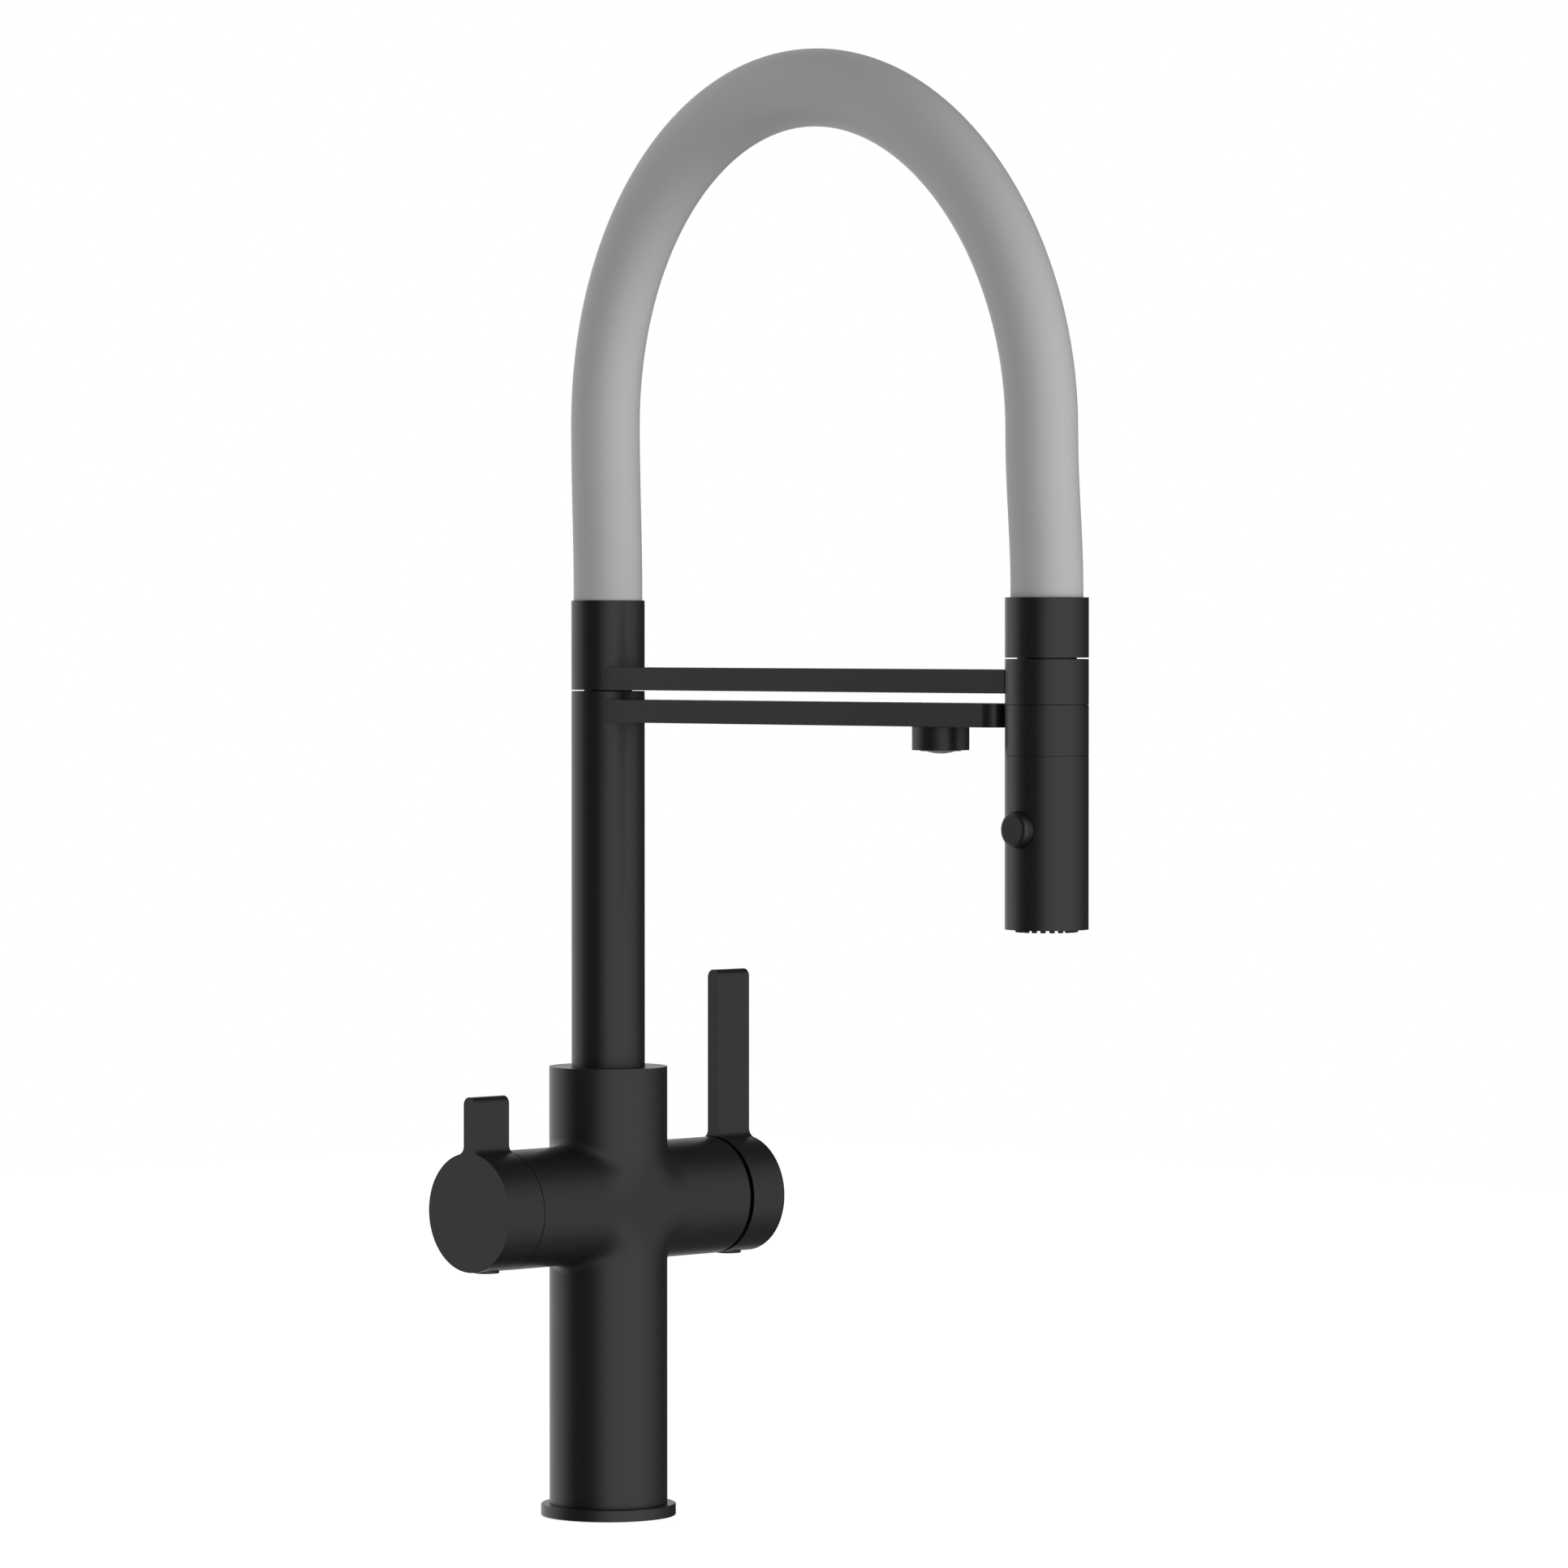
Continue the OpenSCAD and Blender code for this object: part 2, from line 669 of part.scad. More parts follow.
// Two-step plug: a stem in the bore and a button-shaped head that stands a little proud
module cover_plug(x) {
    translate([x, 0, crossbar_z - cap_r - plug_out]) difference() {
        union() {
            cylinder(h = plug_out + plug_in, r = plug_d / 2 - 1.4 - fit_clear);
            cylinder(h = plug_out + 0.6, r = plug_d / 2);
        }
        translate([0, 0, plug_out + cap_r]) rotate([0, 90, 0]) translate([0, 0, -plug_d])
            cylinder(h = 2 * plug_d, r = cap_r, $fn = 180);
    }
    translate([x, 0, crossbar_z - cap_r - plug_out + 0.4])
        cylinder(h = plug_out + plug_in - 0.6, r = plug_d / 2 - 1.4 - fit_clear);
}

module filter_plug() {
    color(black) cover_plug(-filter_screw_x);
}

module mixer_plug() {
    color(black) cover_plug(mixer_screw_x);
}

module grub_screw(x, length) {
    top = crossbar_z - stem_r;
    translate([x, 0, top - length]) difference() {
        cylinder(h = length, r = screw_r);
        translate([0, 0, -1]) cylinder(h = 2.8, r = hex_r, $fn = 6);
    }
}

module filter_grub_screw() {
    color(steel) grub_screw(-filter_screw_x, 8);
}

// Short enough to pass through the cover ring's hole when the lever tilts
module mixer_grub_screw() {
    color(steel) grub_screw(mixer_screw_x, boss_r - stem_r + 0.5);
}

module filter_valve() {
    color(brass) difference() {
        union() {
            along_crossbar_left(valve_seat + valve_seal_h)
                cylinder(h = valve_front - valve_seat - valve_seal_h, r = valve_r);
            along_crossbar_left(valve_front) cylinder(h = valve_end - valve_front, r = valve_neck_r);
        }
        along_crossbar_left(valve_end - spindle_depth)
            cylinder(h = 2 * spindle_depth, r = spindle_r + run_clear);
        along_crossbar_left(valve_seat) cylinder(h = valve_inlet_h, r = spindle_r + 1);
    }
}

module valve_seal() {
    color(black_rubber) along_crossbar_left(valve_seat) tube(valve_seal_h, valve_r, valve_r - 3);
}

module filter_spindle() {
    start = valve_end - spindle_depth + 0.2;
    color(brass) along_crossbar_left(start)
        cylinder(h = filter_cap_x + filter_cap_len - cap_floor - start, r = spindle_r);
}

module mixer_lever() {
    boss_x = stem_pivot + boss_back;
    color(black) difference() {
        union() {
            difference() {
                translate([mixer_cap_x, 0, 0]) lever_solid(mixer_cap_len, mixer_lever_reach);
                along_crossbar(stem_pivot) rotate_extrude() intersection() {
                    circle(r = dish_r, $fn = 180);
                    square([dish_r + 1, dish_r + 1]);
                }
            }
            along_crossbar(boss_x) cylinder(h = stem_pivot + dish_r + 1 - boss_x, r = boss_r);
        }
        along_crossbar(boss_x - 1)
            cylinder(h = mixer_cap_x + mixer_cap_len + 1.2 - cap_floor - boss_x, r = stem_r + fit_clear);
        screw_bore(mixer_screw_x);
    }
}

module glide_ring() {
    color(white_plastic) translate([0, 0, socket_floor]) tube(glide_h, socket_r - fit_clear, spigot_bore_r);
}

module riser_screw() {
    tip = spigot_groove_r() + 0.2;
    head_y0 = body_r - 2.5;
    color(steel) translate([0, head_y0, keeper_z]) rotate([90, 0, 0]) difference() {
        union() {
            cylinder(h = head_y0 - socket_r - 0.2, r = screw_r);
            cylinder(h = head_y0 - tip, r = 1.3);
        }
        translate([0, 0, -1]) cylinder(h = 3, r = hex_r, $fn = 6);
    }
}

function spigot_groove_r() = riser_r - 1.6;

module riser_tube() {
    color(black) difference() {
        translate([0, 0, tube_bottom]) tube(riser_top - tube_bottom, riser_r, tube_r);
        translate([0, 0, lower_arm_mid]) rotate([90, 0, 0])
            cylinder(h = riser_r + 1, r = tenon_r + fit_clear);
    }
}

module riser_spigot() {
    color(brass) difference() {
        union() {
            translate([0, 0, spigot_bottom]) cylinder(h = spigot_h, r = riser_r - 0.05);
            translate([0, 0, tube_bottom]) cylinder(h = spigot_overlap, r = tube_r - fit_clear);
        }
        translate([0, 0, spigot_bottom + spigot_web])
            cylinder(h = spigot_h + spigot_overlap, r = spigot_bore_r);
        translate([0, 0, spigot_bottom - 1]) cylinder(h = spigot_web + 2, r = filter_tube_r + fit_clear);
        for (a = [0 : 90 : 270]) rotate([0, 0, a])
            translate([6.5, 0, spigot_bottom - 1]) cylinder(h = spigot_web + 2, r = 1.6);
        for (z = [spigot_bottom + 3, spigot_bottom + 10])
            translate([0, 0, z - oring_r]) tube(2 * oring_r, riser_r + 1, riser_r - 0.05 - 2 * oring_r);
        translate([0, 0, keeper_z - 1.5]) tube(3, riser_r + 1, spigot_groove_r());
    }
}

module spigot_orings() {
    color(black_rubber) for (z = [spigot_bottom + 3, spigot_bottom + 10])
        translate([0, 0, z]) oring(riser_r - 0.02 - oring_r, oring_r - 0.02);
}

module filter_tube() {
    color(white_plastic) translate([0, 0, spigot_bottom])
        tube(riser_top - top_spigot_h + 6 - spigot_bottom, filter_tube_r, filter_tube_bore_r);
}

module top_spigot() {
    low = riser_top - top_spigot_h;
    color(brass) difference() {
        union() {
            translate([0, 0, low]) cylinder(h = top_spigot_h, r = tube_r - fit_clear);
            translate([0, 0, riser_top]) cylinder(h = neck_h, r = neck_r);
        }
        translate([0, 0, low - 1]) cylinder(h = 7, r = filter_tube_r + fit_clear);
        translate([0, 0, low]) cylinder(h = lower_arm_mid - low, r = channel_r);
        translate([0, 0, lower_arm_mid]) rotate([90, 0, 0]) cylinder(h = tube_r + 1, r = channel_r);
        translate([0, 0, riser_top - 3.8]) cylinder(h = neck_h + 5, r = neck_bore_r);
        for (sx = [-1, 1]) translate([sx * 6.5, 0, low - 1]) cylinder(h = top_spigot_h - 1.5, r = 2);
        translate([0, 0, clip_z - 0.05]) tube(clip_t + 0.1, neck_r + 1, neck_r - 0.9);
    }
}

module collar_washer() {
    color(black_plastic) translate([0, 0, riser_top]) tube(collar_seam, washer_r, neck_r + fit_clear);
}

module collar_circlip() {
    color(steel) translate([0, 0, clip_z]) circlip(neck_r + 1.8, neck_r - 0.85, clip_t);
}

// Bar of an arm from the riser's axis to its reach, with the tube's saddle cut away
module arm_bar(z, reach, corner_r) {
    translate([0, 0, z]) linear_extrude(arm_h) difference() {
        union() {
            translate([-arm_w / 2, -reach + corner_r]) square([arm_w, reach - corner_r]);
            translate([-arm_w / 2 + corner_r, -reach]) square([arm_w - 2 * corner_r, corner_r + 1]);
            for (sx = [-1, 1]) translate([sx * (arm_w / 2 - corner_r), -reach + corner_r])
                circle(r = corner_r, $fn = 64);
        }
        circle(r = riser_r + fit_clear);
    }
}

module filter_spout() {
    color(black) difference() {
        union() {
            arm_bar(lower_arm_z, lower_arm_reach, arm_corner_r);
            translate([0, -riser_r - 1 + tenon_len, lower_arm_mid]) rotate([90, 0, 0])
                cylinder(h = 3, r = tenon_r);
        }
        translate([0, 0, lower_arm_mid]) rotate([90, 0, 0]) cylinder(h = outlet_y, r = channel_r);
        translate([0, -outlet_y, lower_arm_z + outlet_neck_h])
            cylinder(h = arm_h / 2 - outlet_neck_h, r = channel_r);
        translate([0, -outlet_y, lower_arm_z - 1])
            cylinder(h = outlet_neck_h + 1, r = outlet_neck_r + fit_clear);
    }
}

module outlet_cup() {
    low = lower_arm_z - outlet_h;
    color(black) translate([0, -outlet_y, low]) difference() {
        union() {
            cylinder(h = outlet_h, r = outlet_d / 2);
            cylinder(h = outlet_h + outlet_neck_h, r = outlet_neck_r);
        }
        translate([0, 0, -1]) cylinder(h = outlet_h - outlet_roof + 1, r = outlet_d / 2 - outlet_wall);
        cylinder(h = outlet_h + outlet_neck_h + 1, r = 3);
    }
}

// Flow insert: a stepped ring with a shallow dome drawn as a slice of a sphere
module outlet_insert() {
    low = lower_arm_z - outlet_h;
    insert_r = outlet_d / 2 - outlet_wall - fit_clear;
    ball_r = (pow(insert_dome_r, 2) + pow(dome_out, 2)) / (2 * dome_out);
    color(grey_plastic) translate([0, -outlet_y, low]) difference() {
        union() {
            cylinder(h = outlet_h - outlet_roof, r = insert_r);
            translate([0, 0, -0.35]) cylinder(h = 1, r = insert_r - 1);
            intersection() {
                translate([0, 0, ball_r - dome_out]) sphere(r = ball_r, $fn = 96);
                translate([0, 0, -dome_out - 1]) cylinder(h = dome_out + 2, r = insert_dome_r);
            }
        }
        translate([0, 0, 2]) cylinder(h = outlet_h, r = insert_r - 1.5);
        for (a = [0 : 60 : 300]) rotate([0, 0, a]) translate([3.6, 0, -3]) cylinder(h = 6, r = 0.7);
        translate([0, 0, -3]) cylinder(h = 6, r = 0.7);
    }
}

module arm_collar() {
    color(black) difference() {
        translate([0, 0, collar_bottom]) cylinder(h = collar_h, r = riser_r);
        translate([0, 0, collar_bottom - 1]) cylinder(h = collar_h, r = neck_r + run_clear);
        translate([0, 0, collar_bore_top]) cylinder(h = collar_h, r = thread_r);
        translate([0, 0, cup_floor]) cylinder(h = collar_h, r = cup_r);
    }
}

module dock_arm() {
    reach = head_y - head_r;
    color(black) difference() {
        arm_bar(upper_arm_z, head_y, 0.5);
        at_head(upper_arm_z - 1) cylinder(h = arm_h + 2, r = head_r + cradle_clear);
        translate([-arm_w, -head_y - head_r, upper_arm_z - 1]) cube([2 * arm_w, head_r + 6, arm_h + 2]);
        translate([0, -reach + magnet_len + cradle_clear, upper_arm_mid]) rotate([90, 0, 0])
            cylinder(h = magnet_len + 5, r = magnet_r + fit_clear);
    }
}

module dock_magnet() {
    reach = head_y - head_r;
    color(steel) translate([0, -reach + magnet_len + cradle_clear, upper_arm_mid]) rotate([90, 0, 0])
        cylinder(h = magnet_len - 0.4, r = magnet_r);
}

// Barbed tail with a flange, drawn upwards from the flange's underside
module barbed_tail(flange_r, bore_r) {
    difference() {
        union() {
            cylinder(h = tail_flange_h, r = flange_r);
            cylinder(h = barb_len, r = barb_r);
            for (z = [5, 8, 11]) translate([0, 0, z]) cylinder(h = 1.6, r1 = barb_r + 0.25, r2 = barb_r);
        }
        translate([0, 0, -1]) cylinder(h = barb_len + 2, r = bore_r);
    }
}

module hose_tail() {
    color(brass) difference() {
        union() {
            translate([0, 0, cup_floor]) barbed_tail(cup_r - fit_clear, tail_bore_r);
            translate([0, 0, cup_floor - tail_thread]) cylinder(h = tail_thread, r = thread_r - fit_clear);
        }
        translate([0, 0, cup_floor - tail_thread - 1]) cylinder(h = tail_thread + 1, r = neck_r + 2);
        translate([0, 0, cup_floor - 1]) cylinder(h = tail_flange_h + 2, r = tail_bore_r);
    }
}

module ferrule() {
    tube(12, ferrule_r, ferrule_bore_r);
}

module tail_ferrule() {
    color(steel) translate([0, 0, cup_floor + tail_flange_h]) ferrule();
}

module hose_sleeve() {
    color(silicone) bent_tube(stations(sleeve_low, sleeve_far_low, hose_rings),
        hose_r, hose_r - hose_wall, hose_sides, crown_swell);
}

module support_coil() {
    color(steel) bent_tube(stations(sleeve_low, sleeve_far_low, inner_rings),
        coil_r, coil_r - coil_wall, 12);
}

module inner_hose() {
    color(white_plastic) bent_tube(stations(inner_low, inner_far_low, inner_rings),
        inner_hose_r, inner_hose_bore_r, inner_sides);
}

module hose_collar() {
    color(black) at_head() difference() {
        translate([0, 0, hose_collar_low]) cylinder(h = hose_collar_top - hose_collar_low, r = head_r);
        translate([0, 0, hose_collar_low - 1]) cylinder(h = hose_collar_h, r = nipple_r + fit_clear);
        translate([0, 0, head_cup_floor]) cylinder(h = hose_collar_h, r = cup_r);
    }
}

module swivel_nipple() {
    seal_z = dock_shoulder + 4;
    length = head_cup_floor - nipple_bottom;
    color(black) at_head() difference() {
        union() {
            translate([0, 0, nipple_bottom]) cylinder(h = length, r = nipple_r);
            translate([0, 0, head_cup_floor]) barbed_tail(cup_r - fit_clear, tail_bore_r);
        }
        translate([0, 0, nipple_bottom - 1]) cylinder(h = length - 3, r = nipple_bore_r);
        translate([0, 0, head_cup_floor - tail_thread]) cylinder(h = 2 * tail_thread, r = tail_bore_r);
        translate([0, 0, seal_z - 0.85]) tube(1.7, nipple_r + 1, nipple_r - 1.6);
        translate([0, 0, dock_shoulder - clip_t - 0.2])
            tube(clip_t + 0.1, nipple_r + 1, nipple_r - 0.8);
    }
}

module nipple_ferrule() {
    color(steel) at_head(head_cup_floor + tail_flange_h) ferrule();
}

module nipple_seal() {
    color(black_rubber) at_head(dock_shoulder + 4) oring(nipple_r - 0.78, 0.8);
}

module nipple_circlip() {
    color(steel) at_head(dock_shoulder - 0.15 - clip_t) circlip(nipple_r + 1.6, nipple_r - 0.75, clip_t);
}

module dock_collar() {
    color(black) at_head() difference() {
        translate([0, 0, dock_low + hair_seam / 2])
            cylinder(h = dock_top - head_seam / 2 - dock_low - hair_seam / 2, r = head_r);
        translate([0, 0, dock_low - 1]) cylinder(h = dock_collar_h + 2, r = nipple_r + run_clear);
        translate([0, 0, dock_low - 1]) cylinder(h = dock_shoulder - dock_low + 1, r = dock_counterbore_r);
    }
}

module head_collar() {
    low = shell_top + hair_seam / 2;
    high = dock_low - hair_seam / 2;
    color(black) at_head() difference() {
        union() {
            translate([0, 0, low]) cylinder(h = high - low, r = head_r);
            translate([0, 0, high]) cylinder(h = head_thread_h, r = head_thread_r);
            translate([0, 0, low - shell_thread_h])
                cylinder(h = shell_thread_h, r = shell_bore_r - fit_clear);
        }
        translate([0, 0, low - shell_thread_h - 1]) cylinder(h = shell_thread_h, r = check_r - 1.5);
        translate([0, 0, low - check_sink]) cylinder(h = 2 * lower_collar_h, r = check_r + fit_clear);
    }
}

module check_valve() {
    color(white_plastic) at_head(shell_top + hair_seam / 2 - check_sink) difference() {
        tube(check_h, check_r, 5);
        translate([0, 0, 4]) tube(1.4, check_r + 1, check_r - 1);
    }
    color(white_plastic) at_head(shell_top + hair_seam / 2 - 1) difference() {
        cylinder(h = 1.6, r = 5.1);
        for (a = [0 : 60 : 300]) rotate([0, 0, a]) translate([3.2, 0, -1]) cylinder(h = 4, r = 0.9);
    }
}

module head_shell() {
    color(black) at_head() difference() {
        translate([0, 0, head_bottom]) tube(shell_top - hair_seam / 2 - head_bottom, head_r, shell_bore_r);
        translate([-head_r - 1, 0, button_z]) rotate([0, 90, 0]) cylinder(h = head_r, r = button_hole_r);
    }
}

module valve_block() {
    color(grey_plastic) at_head() difference() {
        translate([0, 0, block_low]) cylinder(h = block_top - block_low, r = block_r);
        translate([-head_r - 1, 0, button_z]) rotate([0, 90, 0])
            cylinder(h = head_r + 1 - button_pocket, r = button_hole_r);
        translate([-button_pocket - 1, 0, button_z]) rotate([0, 90, 0])
            cylinder(h = button_pocket + 1 + pip_ring_r, r = button_stem_r + run_clear);
        translate([0, 0, block_low - 1]) cylinder(h = block_top, r = 4);
        translate([0, 0, block_low - 1]) tube(3, pip_ring_r + 1, pip_ring_r - 1);
        translate([pip_ring_r - 1, 0, block_low]) cylinder(h = button_z - block_low, r = 1.5);
    }
}

module face_plate() {
    color(black) at_head(head_bottom + plate_rise) difference() {
        cylinder(h = plate_h, r = shell_bore_r - fit_clear);
        translate([0, 0, -1]) cylinder(h = plate_h + 2, r = aerator_r);
        for (k = [0 : pip_count - 1]) rotate([0, 0, 360 * k / pip_count])
            translate([pip_ring_r, 0, -1]) cylinder(h = plate_h + 2, r = pip_hole_r);
    }
}

// Soft mat behind the face plate, whose pips reach through its holes
module spray_mat() {
    low = head_bottom + plate_rise;
    reach = low + plate_h - head_bottom + pip_out;
    color(black_rubber) at_head(low + plate_h) difference() {
        union() {
            cylinder(h = mat_h, r = mat_r);
            translate([0, 0, -plate_h + 0.3]) cylinder(h = plate_h, r = aerator_r - fit_clear);
            for (k = [0 : pip_count - 1]) rotate([0, 0, 360 * k / pip_count])
                translate([pip_ring_r, 0, -reach]) {
                    cylinder(h = reach - plate_h + 0.4, r1 = pip_d / 2 - 0.25, r2 = pip_d / 2);
                    translate([0, 0, reach - plate_h + 0.4 - eps]) cylinder(h = plate_h, r = pip_d / 2);
                }
        }
        for (a = [0 : 60 : 300]) rotate([0, 0, a]) translate([3.6, 0, -reach])
            cylinder(h = reach + mat_h + 1, r = 0.8);
        for (k = [0 : pip_count - 1]) rotate([0, 0, 360 * k / pip_count])
            translate([pip_ring_r, 0, -reach - 1]) cylinder(h = reach + mat_h + 2, r = 0.4);
    }
}

module spray_button() {
    face_x = -head_r - button_out;
    color(black) at_head(button_z) rotate([0, 90, 0]) {
        rotate_extrude() translate([0, face_x]) {
            difference() {
                square([button_r, button_cap_len]);
                translate([button_r - button_edge_r, -1]) square([button_edge_r + 1, button_edge_r + 1]);
            }
            translate([button_r - button_edge_r, button_edge_r]) intersection() {
                circle(r = button_edge_r, $fn = 48);
                translate([0, -button_edge_r]) square(button_edge_r);
            }
        }
        translate([0, 0, face_x + button_cap_len - eps]) cylinder(h = button_stem_len, r = button_stem_r);
    }
}

// Return spring of the button: a round wire wound from the cap to the pocket's floor
module button_spring() {
    start = -head_r - button_out + button_cap_len + spring_wire_r + 0.05;
    end = -button_pocket - spring_wire_r - 0.05;
    steps = 14 * spring_turns;
    wire_sides = 6;
    pitch = (end - start) / spring_turns;
    points = [for (i = [0 : steps], k = [0 : wire_sides - 1])
        let (a = 360 * spring_turns * i / steps, w = 360 * k / wire_sides,
             rr = spring_r + spring_wire_r * cos(w))
        [start + (end - start) * i / steps + spring_wire_r * sin(w), rr * cos(a), rr * sin(a)]];
    sides = [for (i = [0 : steps - 1], k = [0 : wire_sides - 1], half = [0, 1])
        let (a = i * wire_sides + k, b = i * wire_sides + (k + 1) % wire_sides)
        half == 0 ? [a, b, b + wire_sides] : [a, b + wire_sides, a + wire_sides]];
    near = [[for (k = [wire_sides - 1 : -1 : 0]) k]];
    far = [[for (k = [0 : wire_sides - 1]) k + steps * wire_sides]];
    assert(abs(pitch) > 2 * spring_wire_r + 0.1, "the spring's turns touch");
    color(steel) at_head(button_z) polyhedron(points, concat(sides, near, far));
}

base_flange();
base_seal();
tap_body();
inlet_block();
supply_pipes();
filter_pipe();
mixer_cartridge();
cartridge_seals();
cartridge_nut();
mixer_dome();
filter_valve();
valve_seal();
glide_ring();
riser_screw();
filter_lever();
filter_spindle();
filter_grub_screw();
filter_plug();
cartridge_rotor();
stem_pin();
mixer_stem();
mixer_lever();
mixer_grub_screw();
mixer_plug();
riser_tube();
riser_spigot();
spigot_orings();
filter_tube();
filter_spout();
outlet_cup();
outlet_insert();
top_spigot();
collar_washer();
collar_circlip();
arm_collar();
dock_arm();
dock_magnet();
hose_tail();
tail_ferrule();
hose_sleeve();
support_coil();
inner_hose();
hose_collar();
swivel_nipple();
nipple_ferrule();
nipple_seal();
nipple_circlip();
dock_collar();
head_collar();
head_shell();
check_valve();
valve_block();
face_plate();
spray_mat();
spray_button();
button_spring();
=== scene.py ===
"""Kitchen tap with a hose arch: finishes, rounded edges, soft blends, studio light and camera."""
import json
import math

import bmesh
import bpy
from mathutils import Matrix, Vector


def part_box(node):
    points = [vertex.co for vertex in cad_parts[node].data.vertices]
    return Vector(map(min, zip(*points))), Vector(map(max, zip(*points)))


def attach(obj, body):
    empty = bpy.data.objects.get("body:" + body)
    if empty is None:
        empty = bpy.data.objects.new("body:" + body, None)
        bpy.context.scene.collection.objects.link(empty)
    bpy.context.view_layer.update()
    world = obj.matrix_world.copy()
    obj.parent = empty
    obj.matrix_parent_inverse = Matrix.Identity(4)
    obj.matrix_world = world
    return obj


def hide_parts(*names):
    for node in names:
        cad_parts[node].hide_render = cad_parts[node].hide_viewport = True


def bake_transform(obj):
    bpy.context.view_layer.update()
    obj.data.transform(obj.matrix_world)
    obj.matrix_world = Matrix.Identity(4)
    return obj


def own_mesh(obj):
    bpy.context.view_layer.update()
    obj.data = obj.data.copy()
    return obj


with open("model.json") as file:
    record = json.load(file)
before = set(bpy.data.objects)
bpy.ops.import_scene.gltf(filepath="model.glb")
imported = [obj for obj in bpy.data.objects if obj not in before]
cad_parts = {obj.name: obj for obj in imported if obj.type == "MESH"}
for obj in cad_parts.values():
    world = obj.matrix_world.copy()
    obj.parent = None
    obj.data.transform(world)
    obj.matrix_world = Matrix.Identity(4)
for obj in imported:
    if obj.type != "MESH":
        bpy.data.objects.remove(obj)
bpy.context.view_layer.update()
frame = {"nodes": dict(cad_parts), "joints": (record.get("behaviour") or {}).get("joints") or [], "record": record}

MM = 0.001
X, Y, Z = Vector((1, 0, 0)), Vector((0, 1, 0)), Vector((0, 0, 1))

joints = {joint["name"]: joint for joint in frame["joints"]}
BAR_Z = joints["mixer_flow"]["pos_m"][2]
STEM_PIVOT = Vector(joints["mixer_flow"]["pos_m"])
HEAD_AXIS = Vector(joints["head_swivel"]["pos_m"])
HEAD_AXIS.z = 0

# Limits that several functions share. A ridge above its angle is rounded, and a crease above its
# angle stays sharp in the shading. Rounds are made of this many steps. The last three are
# distances: near an end, close enough to merge, and in the same place.
RIDGE_ANGLE = math.radians(40)
CREASE_ANGLE = math.radians(42)
HOSE_CREASE_ANGLE = math.radians(50)
FINE_ROUND, ROD_ROUND, PIP_ROUND = 144, 96, 24
NEAR, MERGE, SAME = 0.01 * MM, 0.002 * MM, 0.001 * MM


def deselect():
    """Leaves edit mode with nothing selected."""
    if bpy.context.mode != "OBJECT":
        bpy.ops.object.mode_set(mode="OBJECT")
    bpy.ops.object.select_all(action="DESELECT")


def pick(piece):
    """Makes one piece the selected and active one."""
    deselect()
    piece.select_set(True)
    bpy.context.view_layer.objects.active = piece


def edit(piece, kind="EDGE"):
    """Opens a piece in edit mode with nothing selected in it."""
    pick(piece)
    bpy.ops.object.mode_set(mode="EDIT")
    bpy.ops.mesh.select_mode(type=kind)
    bpy.ops.mesh.select_all(action="DESELECT")


def select_edges(piece, wanted):
    """Selects the edges of the piece being edited whose two ends both pass the test."""
    shape = bmesh.from_edit_mesh(piece.data)
    for edge in shape.edges:
        if all(wanted(vertex.co) for vertex in edge.verts):
            edge.select_set(True)
    bmesh.update_edit_mesh(piece.data)


def tidy_mesh(piece):
    """Merges doubled points and turns every face outwards."""
    edit(piece, "VERT")
    bpy.ops.mesh.select_all(action="SELECT")
    bpy.ops.mesh.remove_doubles(threshold=MERGE)
    bpy.ops.mesh.dissolve_degenerate(threshold=SAME)
    bpy.ops.mesh.normals_make_consistent(inside=False)
    deselect()


def apply_modifier(piece, kind, **settings):
    """Adds one modifier with its settings and applies it."""
    pick(piece)
    modifier = piece.modifiers.new(kind.title(), kind)
    for name, value in settings.items():
        setattr(modifier, name, value)
    bpy.ops.object.modifier_apply(modifier=modifier.name)


def soften(piece, width, segments=3):
    """Rounds the sharp edges of a finished form and smooths its shading."""
    apply_modifier(piece, "BEVEL", width=width, segments=segments, limit_method="ANGLE",
                   angle_limit=RIDGE_ANGLE, offset_type="OFFSET", use_clamp_overlap=True)
    pick(piece)
    bpy.ops.object.shade_smooth_by_angle(angle=CREASE_ANGLE)
    apply_modifier(piece, "WEIGHTED_NORMAL", keep_sharp=True, weight=80)


def loop_of(name, points):
    """A closed loop of edges through the given points, from a circle primitive."""
    deselect()
    bpy.ops.mesh.primitive_circle_add(vertices=len(points), radius=MM, fill_type="NOTHING")
    piece = bpy.context.object
    piece.name = name
    for vertex, point in zip(piece.data.vertices, points):
        vertex.co = point
    return piece


def turned(name, outline, centre, axis=Z, steps=FINE_ROUND):
    """A turned piece: a closed outline of (radius, height) points spun round an axis."""
    out = X if axis is Z else Z
    piece = loop_of(name, [centre + out * radius + axis * height for radius, height in outline])
    edit(piece)
    bpy.ops.mesh.select_all(action="SELECT")
    bpy.ops.mesh.spin(steps=steps, angle=2 * math.pi, center=centre, axis=axis)
    tidy_mesh(piece)
    return piece


def slab(name, outline, start, depth):
    """A plate of even depth along X from an outline of (y, z) points."""
    piece = loop_of(name, [Vector((start, y, z)) for y, z in outline])
    edit(piece)
    bpy.ops.mesh.select_all(action="SELECT")
    bpy.ops.mesh.edge_face_add()
    bpy.ops.mesh.extrude_region_move(TRANSFORM_OT_translate={"value": (depth, 0, 0)})
    tidy_mesh(piece)
    return piece


def cut(piece, cutter):
    """Cuts one piece with another and removes the cutter."""
    apply_modifier(piece, "BOOLEAN", operation="DIFFERENCE", object=cutter, solver="EXACT")
    bpy.data.objects.remove(cutter)


